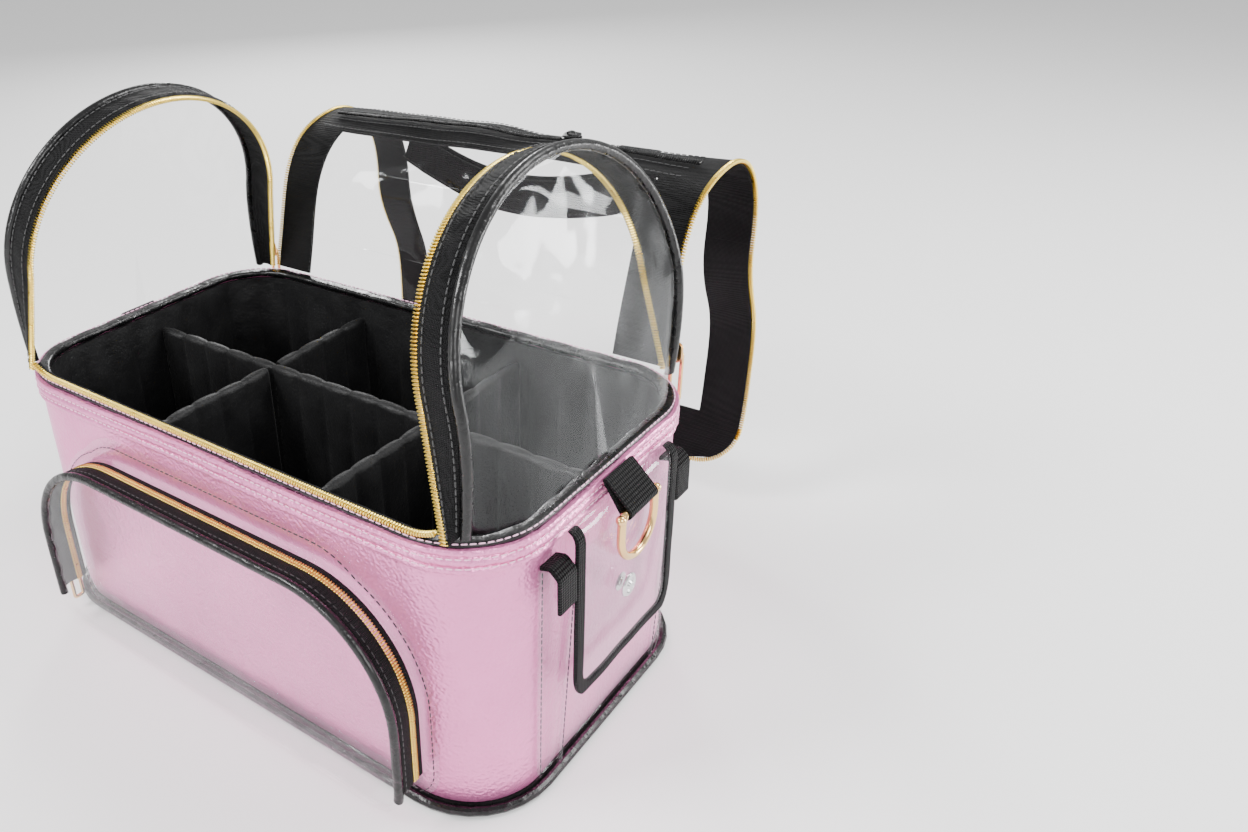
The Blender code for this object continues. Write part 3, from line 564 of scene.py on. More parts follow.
# ---------------------------------------------------------------- the base
def make_shell():
    """The pink wall, drawn in a little and creased where it meets the rim and the bottom."""
    path = spaced(case_line(0.0), 0.004, True)
    bm = bmesh.new()
    rows = []
    levels = 36
    for i in range(levels + 1):
        t = i / levels
        z = SHELL_LOW + (TRAY_TOP - SHELL_LOW) * t
        edge = min(t, 1 - t)
        pull = 0.0016 * math.exp(-edge / 0.05)
        row = []
        for (x, y), (n_x, n_y) in zip(path, outward(path, True)):
            crease = abs(ripple((x, y, z * 0.5), 26.0, 0.0003)) + abs(ripple((x, y, z), 70.0, 0.0001))
            inward = pull + crease
            row.append(Vector((x - n_x * inward, y - n_y * inward, z)))
        rows.append(row)
    join_rings(bm, add_rows(bm, rows))
    back_skin(bm, WALL_THICK)
    shell = piece("case_wall", bm, "pink", "case")
    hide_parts("base_shell")


def welt_outline(half_thick, half_high):
    """The folded rim's cross-section, with points close enough for its two sewn channels."""
    bulge = []
    for i in range(15):
        b = half_high * (2 * i / 14 - 1)
        bulge.append((half_thick * (1 - abs(b / half_high) ** 6 * 0.5), b))
    return bulge + [(-half_thick, half_high), (-half_thick, -half_high)]


def make_welt():
    """The folded rim of the case with its two rows of stitches."""
    path = spaced(case_line(0.0), 0.0025, True)
    middle = (WELT_LOW + RIM_TOP) / 2
    half = (RIM_TOP - WELT_LOW) / 2

    def section(distance):
        puff = 0.0001 + 0.0004 * math.sin(distance * 2 * math.pi / 0.0115) ** 2
        puff += 0.0004 * noise.noise(Vector((distance * 130.0, 0.0, 0.0)))
        sag = 0.0006 * math.sin(distance * 41.0)
        shape = []
        for a, b in welt_outline(0.0010 + puff, half):
            pinch = 0.0012 * math.exp(-((b - WELT_SEAM) / 0.0009) ** 2)
            pinch += 0.0012 * math.exp(-((b + WELT_SEAM) / 0.0009) ** 2)
            shape.append((0.0006 + a - (pinch if a > 0 else 0.0), middle + b + sag))
        return shape

    welt = sweep("rim_fold", path, section, in_plan, "pink", "case", True)
    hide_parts("rim_welt")
    for i, height in enumerate((WELT_SEAM, -WELT_SEAM), start=1):
        seam(
            f"rim_stitches_{i}", case_line(0.0), in_plan, 0.0016, middle + height,
            "pink_thread", "case", True,
        )
    top = case_line(-0.0008)
    seam("rim_top_stitches", top, in_plan, 0.0, RIM_TOP + 0.0022, "pink_thread", "case", True)


def make_tray():
    """The padded black tray: ribs sewn up the walls, over a soft floor."""
    path = spaced(case_line(-TRAY_INSET), 0.0022, True)
    length = sum(math.dist(a, b) for a, b in zip(path, path[1:] + path[:1]))
    ribs = round(length / RIB_PITCH)
    normals = outward(path, True)
    rows = []
    levels = 26
    for i in range(levels + 1):
        t = i / levels
        z = TRAY_FLOOR + (TRAY_TOP - TRAY_FLOOR) * t
        fade = min(1.0, 4.0 * (1.0 - t) + 0.15)
        row = []
        for k, ((x, y), (n_x, n_y)) in enumerate(zip(path, normals)):
            puff = RIB_DEPTH * abs(math.sin(math.pi * ribs * k / len(path))) ** 0.6 * fade
            puff += ripple((x, y, z), 60.0, 0.0006)
            row.append(Vector((x - n_x * puff, y - n_y * puff, z)))
        rows.append(row)
    bm = bmesh.new()
    rim = zip(path, normals)
    rows.append([(x + n_x * TRAY_RIM, y + n_y * TRAY_RIM, TRAY_TOP) for (x, y), (n_x, n_y) in rim])
    made = add_rows(bm, rows)
    join_rings(bm, made)
    floor = []
    for ring in range(1, FLOOR_RINGS):
        share = 1 - ring / FLOOR_RINGS
        ring_points = [(x * share, y * share) for x, y in path]
        floor.append([(x, y, TRAY_FLOOR + ripple((x, y, 0.0), 40.0, 0.0008)) for x, y in ring_points])
    inner = [made[0]] + add_rows(bm, floor)
    join_rings(bm, inner)
    bm.faces.new(inner[-1])
    back_skin(bm, PADDING_THICK)
    tray = piece("tray_padding", bm, "liner", "case", SMALL_SHARP)
    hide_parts("liner_tray")


def make_lip():
    """The padded roll round the inside of the rim."""
    path = spaced(case_line(-0.0039), 0.003, True)
    middle = (LIP_LOW + LIP_TOP) / 2

    def section(distance):
        swell = 0.0002 * math.sin(distance * 2 * math.pi / 0.024)
        return round_section(0.0034 + swell, 0.0018 + swell, 0.0014, (0.0, middle))

    lip = sweep("rim_lip", path, section, in_plan, "cord", "case", True)
    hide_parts("liner_lip")


def make_divider(node):
    """A padded divider with sewn ribs down both faces and over its top edge."""
    low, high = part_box(node)
    lengthwise = high.x - low.x > high.y - low.y
    start, end = (low.x, high.x) if lengthwise else (low.y, high.y)
    middle = (low.y + high.y) / 2 if lengthwise else (low.x + high.x) / 2
    ribs = max(2, round((end - start) / RIB_PITCH))
    steps = ribs * 10
    rows = []
    for i in range(steps + 1):
        t = i / steps
        puff = abs(math.sin(math.pi * ribs * t)) ** 0.55
        half = 0.0023 + 0.0014 * puff
        unevenness = ripple((start + (end - start) * t, middle, 1.0), 30.0, 0.0008)
        top = DIVIDER_TOP - 0.0018 + 0.0009 * puff + unevenness
        height = (top - DIVIDER_LOW) / 2
        row = []
        for a, b in round_box(half, height, half * 0.95, 5):
            lean = 0.0011 * math.sin(3.0 * t + middle * 60) * (0.5 + b / height / 2)
            along = start + (end - start) * t
            across = middle + a + lean
            z = DIVIDER_LOW + height + b
            row.append(Vector((along, across, z)) if lengthwise else Vector((across, along, z)))
        rows.append(row)
    bm = bmesh.new()
    add_loft(bm, rows, False)
    pad = piece(node + "_pad", bm, "liner", node, SMALL_SHARP)
    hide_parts(node)


def make_base():
    make_shell()
    make_welt()
    make_tray()
    make_lip()
    for row in ("front", "back"):
        for column in ("left", "right"):
            make_divider(f"cross_divider_{row}_{column}")
    make_divider("long_divider")
    for node, look in (("bottom_panel", "nylon"), ("bottom_piping", "cord")):
        mesh = frame["nodes"][node].data
        mesh.materials.clear()
        mesh.materials.append(LOOKS[look][0])


# ---------------------------------------------------------------- the end walls
def panel_half(height):
    if height <= ARCH_LEG:
        return PANEL_FOOT + (ARCH_WAIST - PANEL_FOOT) * height / ARCH_LEG
    rise = min((height - ARCH_LEG) / ARCH_CROWN, 1.0)
    return ARCH_WAIST * math.sqrt(1.0 - rise ** 2)


def zip_half(height):
    return ZIP_FOOT + (ARCH_WAIST - ZIP_FOOT) * min(height / ARCH_LEG, 1.0)


def corner_bow(y, height):
    """How far an end wall's foot stands in, where it follows the rim's round corner."""
    corner = CORNER_RADIUS - CORNER_INSET
    past = max(abs(y) - (HALF_Y - CORNER_RADIUS), 0.0)
    full = corner - math.sqrt(corner ** 2 - (PANEL_FOOT - HALF_Y + CORNER_RADIUS) ** 2)
    here = corner - math.sqrt(max(corner ** 2 - past ** 2, 0.0))
    fade = max(1.0 - height / ARCH_LEG, 0.0) ** 1.5
    return CORNER_BOW * min(here / full, 1.0) * fade


def arch_place(sign):
    """Maps Y, height and distance in from an end wall's plane to the row frame."""
    turn = Matrix.Rotation(-sign * ARCH_LEAN, 4, "Y")
    hinge = Matrix.Translation((sign * ARCH_HINGE_X, 0.0, ARCH_HINGE_Z)) @ turn

    def place(y, height, inward):
        share = 1.0 - min(max((inward - TAPE_START) / (TAPE_END - TAPE_START), 0.0), 1.0)
        bow = corner_bow(y, max(height, 0.0)) * share
        if 0.0 <= height < ARCH_LEG:
            y -= math.copysign((zip_half(height) - panel_half(height)) * share, y)
        lift = bow * math.tan(ARCH_LEAN)
        return hinge @ Vector((-sign * (inward + bow), y, height + lift))

    return place


def arch_line(foot):
    """The end wall's outline from its back foot over the crown to its front foot."""
    points = [(zip_half(foot), foot)]
    points += [(ARCH_WAIST * math.cos(a), ARCH_LEG + ARCH_CROWN * math.sin(a))
               for a in (math.pi * i / 60 for i in range(61))]
    points.append((-zip_half(foot), foot))
    return spaced(points, 0.003)


def make_end_wall(side, sign):
    place = arch_place(sign)
    body = f"end_wall_{side}"
    cord = sweep(
        f"arch_cord_{side}", arch_line(0.0026), round_section(0.0024, 0.0024, 0.0023),
        place, "cord", body,
    )
    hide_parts(f"arch_piping_{side}")
    half_tape = (TAPE_END - TAPE_START) / 2
    centre = TAPE_START + half_tape

    def tape_section(distance):
        shape = []
        wide = 10
        pucker = 0.0004 * math.sin(distance * 2 * math.pi / 0.013)
        for i in range(wide + 1):
            b = half_tape * (2 * i / wide - 1)
            crown = 0.0010 * (1 - (b / half_tape) ** 2)
            shape.append((0.0007 + crown + pucker * (1 - abs(b) / half_tape), centre + b))
        for a, b in shape[::-1]:
            shape.append((a - 0.0014, b))
        return shape

    tape = sweep(f"arch_band_{side}", arch_line(TAPE_FOOT), tape_section, place, "nylon", body)
    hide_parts(f"arch_tape_{side}")
    line = arch_line(TEETH_FOOT)
    gold = zip_row(f"arch_zip_{side}", line, place, TAPE_END + 0.0014, body, ARCH_TEETH_LENGTH)
    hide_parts(f"arch_teeth_{side}")
    for i, inward in enumerate(ARCH_SEAMS, start=1):
        name = f"arch_stitches_{side}_{i}"
        seam(name, arch_line(SEAM_FOOT), place, 0.0018, inward, "black_thread", body)
    make_end_sheet(side, place, body)


def make_end_sheet(side, place, body):
    """The clear end wall, bellied out a little and creased from its corners."""
    rows = 34
    columns = 40
    grid = []
    for i in range(rows + 1):
        t = i / rows
        height = 0.0006 + (ARCH_LEG + ARCH_CROWN - 0.0020) * math.sin(t * math.pi / 2)
        half = max(panel_half(height) - 0.0006, 0.004)
        line = []
        for j in range(columns + 1):
            c = 2 * j / columns - 1
            y = half * c
            belly = 0.0055 * (1 - c ** 2) * math.sin(math.pi * min(t * 0.95, 1.0)) ** 0.8
            crease = ripple((y * 1.4, height, 3.0), 30.0, 0.0016) * (1 - abs(c) ** 3) * min(t * 5, 1.0)
            if height < ARCH_LEG:
                # the place function draws feet in from the zip's line to the wall's own
                y += math.copysign(zip_half(height) - panel_half(height), y) * abs(c)
            line.append(place(y, height, -belly + crease))
        grid.append(line)
    wall = sheet(f"end_sheet_{side}", grid, VINYL, "clear", body)
    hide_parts(f"end_panel_{side}")


def make_front_zip():
    """The fixed half of the dome zip, which climbs to the end walls at both ends."""
    line = []
    for i in range(121):
        x = FRONT_ZIP_HALF * (2 * i / 120 - 1)
        climb = max(abs(x) - (FRONT_ZIP_HALF - FRONT_ZIP_CLIMB), 0.0) / FRONT_ZIP_CLIMB
        line.append((x, LIP_TOP + 0.0016 + 0.0045 * climb ** 2))
    gold = zip_row("front_rim_zip", line, facing_front, FRONT_ZIP_Y, "case")
    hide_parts("front_zip_teeth")
    strip = round_section(0.0006, 0.0014, 0.0005, (0.0012, FRONT_ZIP_Y + 0.0028))
    tape = sweep("front_rim_tape", line, strip, facing_front, "nylon", "case")
    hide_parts("front_zip_tape")


# ---------------------------------------------------------------- the cover
def cover_profile():
    """The open cover's line in Y and Z, as segments that each bend over one hinge.

    Segment i runs from the middle of strip i - 1, round hinge i, to the middle of strip i.
    """
    hinges = [Vector(JOINTS[f"cover_fold_{i}"]["pos_m"][1:]) for i in range(1, 9)]
    strip = (hinges[1] - hinges[0]).length
    last = max(
        (Vector((vert.co.y, vert.co.z)) for vert in frame["nodes"]["cover_panel_8"].data.vertices),
        key=lambda point: (point - hinges[7]).length,
    )
    onward = (last - hinges[7]).normalized()
    middles = [(a + b) / 2 for a, b in zip(hinges, hinges[1:])]
    middles.append(hinges[7] + onward * strip / 2)
    segments = [[hinges[0].lerp(middles[0], i / 4) for i in range(5)]]
    for i in range(1, 8):
        bend = (middles[i - 1], hinges[i], middles[i])
        segments.append([curve(*bend, k / SEGMENT_ROWS) for k in range(SEGMENT_ROWS + 1)])
    segments.append([middles[7].lerp(last, i / 6) for i in range(7)])
    return segments, middles


class Cover:
    """The cover's surface: places on it from X, and a row of a segment."""

    def __init__(self):
        self.segments, self.middles = cover_profile()
        self.line = [self.segments[0][0]]
        self.starts = []
        for segment in self.segments:
            self.starts.append(len(self.line) - 1)
            self.line += segment[1:]
        self.reach = [0.0]
        for a, b in zip(self.line, self.line[1:]):
            self.reach.append(self.reach[-1] + (b - a).length)
        self.length = self.reach[-1]
        self.ridge = self.reach[self.starts[RIDGE_STRIP]]

    def normal(self, at):
        before = self.line[max(at - 1, 0)]
        after = self.line[min(at + 1, len(self.line) - 1)]
        along = (after - before).normalized()
        return Vector((-along.y, along.x))

    def half_width(self, reach):
        past = max(reach - (self.length - COVER_CORNER), 0.0)
        return COVER_EDGE - COVER_CORNER + math.sqrt(max(COVER_CORNER ** 2 - past ** 2, 0.0))

    def point(self, at, x, off=0.0):
        reach = self.reach[at]
        wave = 0.0016 * math.sin(reach * 70.0 + x * 22.0) * min(reach / 0.06, 1.0)
        loose = max(1.0 - abs(x) / COVER_BAND, 0.0) ** 0.5
        wave += ripple((x, reach, 7.0), 26.0, 0.0022) * loose
        place = self.line[at] + self.normal(at) * (off + wave)
        return Vector((x, place.x, place.y))

    def spot(self, reach, x, off):
        """A place on the surface at a distance along it."""
        at = max(i for i in range(len(self.reach) - 1) if self.reach[i] <= reach)
        share = (reach - self.reach[at]) / (self.reach[at + 1] - self.reach[at])
        return self.point(at, x, off).lerp(self.point(at + 1, x, off), share)

    def columns(self, at):
        """X of each column: even over the clear middle, and squeezed in the bands near corners."""
        half = self.half_width(self.reach[at])
        inner = [COVER_BAND * (2 * i / MIDDLE_COLUMNS - 1) for i in range(MIDDLE_COLUMNS + 1)]
        edge = [COVER_BAND + (half - COVER_BAND) * i / BAND_COLUMNS for i in range(1, BAND_COLUMNS + 1)]
        return [-x for x in edge[::-1]] + inner + edge


def carry(thing, cover, index):
    """Makes a piece of segment index ride on its one strip at either end; a piece of a middle segment only
    has its transform baked and follows no strip.
    """
    if index == 0:
        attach(thing, "cover_1")
    elif index == 8:
        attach(thing, "cover_8")
    else:
        start = cover.middles[index - 1]
        end = cover.middles[index]
        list(start)
        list(end)
        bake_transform(thing)


def make_cover():
    cover = Cover()
    for index, segment in enumerate(cover.segments):
        first = cover.starts[index]
        rows = range(first, first + len(segment))
        grid = [[cover.point(at, x) for x in cover.columns(at)] for at in rows]

        def banded(row, column, rows=rows):
            middle = (cover.reach[rows[row]] + cover.reach[rows[row] + 1]) / 2
            side = not BAND_COLUMNS <= column < BAND_COLUMNS + MIDDLE_COLUMNS
            front = middle > cover.length - COVER_FRONT_BAND
            ridge = abs(middle - cover.ridge) < RIDGE_BAND / 2
            return side or front or ridge

        def clear(row, column, rows=rows):
            return not banded(row, column, rows)

        band = sheet(f"cover_band_{index + 1}", grid, COVER_THICK, "nylon", None, banded)
        carry(band, cover, index)
        if any(clear(i, j) for i in range(len(grid) - 1) for j in range(len(grid[0]) - 1)):
            vinyl = sheet(f"cover_sheet_{index + 1}", grid, VINYL, "clear", None, clear)
            carry(vinyl, cover, index)
        else:
            vinyl = None
        if index:
            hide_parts(f"cover_panel_{index}")
        if index == 8:
            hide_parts("cover_front_band")
        make_cover_edge(cover, index, rows)
    make_lid_zip(cover)


def make_cover_edge(cover, index, rows):
    """Zip teeth along both edges of a segment, and round the free edge on the last one."""
    bm = bmesh.new()
    for sign in (-1, 1):
        sides = [sign * (cover.half_width(cover.reach[at]) + COVER_TEETH_OUT) for at in rows]
        edge = [cover.point(at, x) for at, x in zip(rows, sides)]
        if index == 8:
            edge = cover_corner(cover, sign, edge[0])
        for centre, along in spaced_places(edge):
            across = X_WAY * sign
            across = (across - along * across.dot(along)).normalized()
            add_bar(bm, centre, across, along, COVER_TEETH_LENGTH, TOOTH_WIDTH, 0.0022)
    if index == 8:
        last = len(cover.line) - 1
        half = COVER_EDGE - COVER_CORNER
        out = end_way(cover) * COVER_TEETH_OUT
        edge = [cover.point(last, -half + 2 * half * i / 30) + out for i in range(31)]
        for centre, along in spaced_places(edge):
            add_bar(bm, centre, end_way(cover), along, COVER_TEETH_LENGTH, TOOTH_WIDTH, 0.0022)
    row = piece(f"cover_zip_{index + 1}", bm, "teeth", None, SMALL_SHARP)
    carry(row, cover, index)


def end_way(cover):
    """The way that the cover runs at its free edge."""
    return across_case((cover.line[-1] - cover.line[-2]).normalized())


def cover_corner(cover, sign, start):
    """The edge's line down the last segment and round its corner."""
    way = end_way(cover)
    last = len(cover.line) - 1
    centre = cover.point(last, sign * (COVER_EDGE - COVER_CORNER)) - way * COVER_CORNER
    edge = [start] if (centre - start).dot(way) > 0 else []
    radius = COVER_CORNER + COVER_TEETH_OUT
    for i in range(13):
        angle = math.pi / 2 * i / 12
        sideways = X_WAY * sign * radius * math.cos(angle)
        edge.append(centre + sideways + way * radius * math.sin(angle))
    return edge


def spaced_places(edge):
    """Evenly spaced points along a line in space, each with the way along it."""
    points = [Vector(point) for point in spaced([tuple(point) for point in edge], TEETH_PITCH)]
    found = []
    for i, point in enumerate(points[:-1]):
        found.append(((point + points[i + 1]) / 2, (points[i + 1] - point).normalized()))
    return found


def make_lid_zip(cover):
    """The coil zip along the ridge band, with its tape ridges and its slider."""
    at = cover.starts[RIDGE_STRIP]
    along = across_case((cover.line[at + 1] - cover.line[at - 1]).normalized())
    up = across_case(cover.normal(at))
    half = COVER_EDGE - LID_ZIP_INSET
    coil = bmesh.new()
    count = round(2 * half / COIL_PITCH)
    for i in range(count + 1):
        x = -half + 2 * half * i / count
        add_bar(coil, cover.point(at, x, 0.0019), along, X_WAY, 0.0044, 0.0010, 0.0018)
    chain = piece("lid_zip_coil", coil, "cord", "cover_3", SMALL_SHARP)
    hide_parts("lid_zip_tape")
    places = []
    for shift in LID_SEAMS:
        for i in range(round(2 * half / STITCH_PITCH)):
            x = -half + STITCH_PITCH * i
            places.append((cover.spot(cover.ridge + shift, x, 0.0006), X_WAY, along))
    stitches("lid_stitches", places, "black_thread", "cover_3")
    low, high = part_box("lid_zip_slider")
    spot = cover.point(at, (low.x + high.x) / 2, 0.0028)
    slider = slider_body("lid_slider_body", spot, X_WAY, up, "cord", "lid_slider")
    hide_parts("lid_zip_slider")


def make_handle():
    """The webbing carry handle, hanging in a shallow bow, with its end patches sewn down."""
    pivot = JOINTS["handle_swing"]["pos_m"]
    low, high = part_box("carry_handle")
    reach = (high.x - low.x) / 2 - 0.004
    line = []
    for i in range(49):
        t = i / 48
        drop = 0.0012 * min(1.0, 12.0 * min(t, 1.0 - t)) + HANDLE_BOW * math.sin(math.pi * t)
        line.append((-reach + 2 * reach * t, -0.0138 - drop))

    def place(u, v, w):
        return Vector((u, pivot[1] + w + 0.0014 * math.sin(u * 55.0), pivot[2] + v))

    strap = sweep("handle_strap", line, round_section(0.0130, 0.0011, 0.0009), place, "webbing", "handle")
    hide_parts("carry_handle")
    anchor = round_section(0.0030, 0.0020, 0.0018)

    def hold(u, v, w):
        return Vector((u, pivot[1] + w, pivot[2] + v + 0.0008))

    for side, sign in SIDES:
        ends = sorted((sign * reach, sign * (reach - HANDLE_ANCHOR)))
        steps = spaced([(ends[0], 0.0), (ends[1], 0.0)], 0.003)
        sweep(f"handle_anchor_{side}", steps, anchor, hold, "webbing", HANDLE_BODY)
    for i, offset in enumerate(HANDLE_SEAMS, start=1):
        for face in (-1, 1):
            name = f"handle_stitches_{i}_{facing_name(face)}"
            seam(name, line, place, offset, face * 0.0013, "black_thread", "handle")


# ---------------------------------------------------------------- zip sliders and pulls
def slider_body(name, centre, along, out, look, body):
    """A slider: two rounded plates, a bridge between them and a crown over the upper one."""
    side = along.cross(out).normalized()
    bm = bmesh.new()

    def plate(level, thick, half_long, half_wide):
        outline = round_box(half_long, half_wide, half_wide * 0.75, 5)
        rows = []
        for height, inset in ((-0.5, 0.88), (-0.3, 1.0), (0.3, 1.0), (0.5, 0.88)):
            rows.append([
                centre + along * (u * inset) + side * (v * inset) + out * (level + thick * height)
                for u, v in outline
            ])
        add_loft(bm, rows, False)

    plate(0.0007, 0.0010, 0.0055, 0.0042)
    plate(0.0024, 0.0010, 0.0052, 0.0040)
    plate(0.0016, 0.0016, 0.0016, 0.0012)
    crown = []
    for i in range(9):
        angle = math.pi * i / 8
        spot = centre + along * (0.0030 * math.cos(angle)) + out * (0.0028 + 0.0016 * math.sin(angle))
        ring = []
        for k in range(8):
            turn = 2 * math.pi * k / 8
            ring.append(spot + side * (0.0008 * math.cos(turn)) + out * (0.0006 * math.sin(turn)))
        crown.append(ring)
    add_loft(bm, crown, False)
    return piece(name, bm, look, body, 40.0)


def make_pull(name, pivot, out, body, node):
    """A frame-shaped pull tab that hangs from its slider's crown."""
    low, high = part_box(node)
    length = high.z - low.z
    side = Z_WAY.cross(out)
    outline = spaced(round_box(0.0029, length / 2 - 0.0012, 0.0014, 5), 0.0012, True)

    def place(u, v, w):
        return pivot + side * u + Vector((0, 0, v - length / 2 + 0.0004)) + out * w

    pull = sweep(name, outline, round_section(0.0011, 0.0008, 0.0007), place, "gold", body, True)
    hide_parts(node)


def make_gold_slider(zip_name, suffix, out):
    """A gold slider that stands out from its zip, and its pull tab."""
    node = f"{zip_name}_zip{suffix}_slider"
    low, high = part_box(node)
    back = out * abs(out.dot(high - low)) / 2
    metal = slider_body(
        f"{zip_name}_slider_body{suffix}", (low + high) / 2 - back, Z_WAY, out,
        "gold", f"{zip_name}_slider{suffix}",
    )
    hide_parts(node)
    body = f"{zip_name}_pull{suffix}"
    pivot = Vector(JOINTS[f"{body}_swing"]["pos_m"])
    make_pull(f"{zip_name}_pull_tab{suffix}", pivot, out, body, f"{zip_name}_zip{suffix}_pull")


def make_sliders():
    for side, _ in SIDES:
        make_gold_slider("dome", f"_{side}", Y_WAY)
    make_gold_slider("pocket", "", -X_WAY)


# ---------------------------------------------------------------- the front pocket
def pocket_line(offset):
    """The front pocket's outline in X and Z, moved out by offset."""
    half = POCKET_HALF + offset
    low = POCKET_LOW - offset
    high = POCKET_HIGH + offset
    big = POCKET_TOP_RADIUS + offset
    small = POCKET_BOTTOM_RADIUS + offset
    points = arc((half - small, low + small), small, -90, 0, 6)
    points += arc((half - big, high - big), big, 0, 90, 16)
    points += arc((-half + big, high - big), big, 90, 180, 16)
    points += arc((-half + small, low + small), small, 180, 270, 6)
    return points


def pocket_zip_line():
    """The pocket zip's open line, up one side, over the top and down the other."""
    return spaced(pocket_line(0.0)[6:-6], 0.003)


def make_front_pocket():
    whole = spaced(pocket_line(0.0), 0.003, True)

    def flange_section(distance):
        wave = 0.0001 * abs(math.sin(distance * 60.0))
        return round_section(0.0068, 0.0003, 0.0002, (0.0012, POCKET_BACK + 0.0002 + wave))

    def flange_place(u, v, w):
        grow = max(v - (POCKET_HIGH - POCKET_TOP_RADIUS), 0.0) / POCKET_TOP_RADIUS
        out = max(v - POCKET_HIGH, 0.0)
        return Vector((u, w, max(v + out * grow * 0.8, 0.0072)))

    flange = sweep("pocket_border", whole, flange_section, flange_place, "clear_tight", "case", True)
    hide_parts("pocket_flange")
    hem = pocket_line(0.0)
    seam(
        "pocket_border_stitches", hem, flange_place, 0.0052, POCKET_BACK - 0.0004,
        "black_thread", "case", True,
    )

    def bulged(back, front, bulge, thick):
        steps = 6
        upper = []
        for i in range(steps + 1):
            t = i / steps
            upper.append((thick / 2 + bulge * math.sin(math.pi * t), back + (front - back) * t))
        return upper + [(a - thick, b) for a, b in upper[::-1]]

    wall = bulged(POCKET_BACK - 0.0004, POCKET_ZIP_BACK + 0.0026, 0.0005, 0.0009)
    gusset = sweep("pocket_side_wall", whole, wall, facing_front, "clear_tight", "case", True)
    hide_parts("pocket_gusset")
    line = pocket_zip_line()
    back_tape = bulged(POCKET_ZIP_BACK + 0.0030, POCKET_ZIP_BACK + 0.0004, 0.0002, POCKET_TAPE)
    sweep("pocket_back_tape", line, back_tape, facing_front, "nylon", "case")
    at = POCKET_ZIP_BACK - 0.0008
    gold = zip_row("pocket_zip_back_row", line, facing_front, at, "case", 0.0022, 0.0026)
    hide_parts("pocket_zip_teeth")
    at = POCKET_ZIP_BACK - 0.0026
    zip_row("pocket_zip_front_row", line, facing_front, at, "pocket_flap", 0.0020, 0.0026)
    front_tape = bulged(POCKET_ZIP_FRONT, POCKET_PIPING_Y + 0.0014, 0.0008, POCKET_TAPE)
    tape = sweep("pocket_band", line, front_tape, facing_front, "nylon", "pocket_flap")
    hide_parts("pocket_zip_tape")
    at = POCKET_ZIP_FRONT - 0.0060
    seam("pocket_band_stitches", line, facing_front, 0.0012, at, "black_thread", "pocket_flap")
    roll = round_section(0.0023, 0.0021, 0.0020, (0.0, POCKET_PIPING_Y))
    cord = sweep("pocket_cord", spaced(hem[5:-5], 0.003), roll, facing_front, "cord", "pocket_flap")
    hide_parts("pocket_piping")
    foot = spaced(hem[-6:] + hem[:6], 0.003)
    thin = round_section(0.0012, 0.0018, 0.0010, (0.0, POCKET_PIPING_Y))
    sweep("pocket_hem", foot, thin, facing_front, "clear_tight", "pocket_flap")
    low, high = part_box("pocket_floor")
    grid = []
    for i in range(7):
        y = high.y + (low.y - high.y) * i / 6
        grid.append([Vector((low.x + (high.x - low.x) * j / 30, y, low.z + 0.0006)) for j in range(31)])
    floor = sheet("pocket_base", grid, VINYL, "clear_tight", "case")
    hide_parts("pocket_floor")
    make_pocket_face()


def make_pocket_face():
    """The clear pocket face: full in the middle, and puckered where it is sewn to its cord."""
    outline = spaced(pocket_line(-0.0008), 0.0045, True)
    middle = Vector((0.0, (POCKET_LOW + POCKET_HIGH) / 2))
    rings = 16
    rows = []
    for ring in range(rings):
        share = 1 - ring / rings
        row = []
        for k, (x, z) in enumerate(outline):
            spot = middle.lerp(Vector((x, z)), share)
            full = 0.0042 * (1 - share ** 2) ** 0.8
            pucker = 0.0007 * math.sin(k * 2.1) * share ** 6
            dent = ripple((spot.x, spot.y, 11.0), 34.0, 0.0014) * (1 - share ** 4)
            y = POCKET_PIPING_Y - 0.0004 - full - pucker * 0.5 + dent
            row.append((spot.x, y, spot.y))
        rows.append(row)
    bm = bmesh.new()
    made = add_rows(bm, rows)
    join_rings(bm, made)
    bm.faces.new(made[-1])
    back_skin(bm, VINYL)
    face = piece("pocket_face", bm, "clear_tight", "pocket_flap")
    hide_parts("pocket_front_panel")


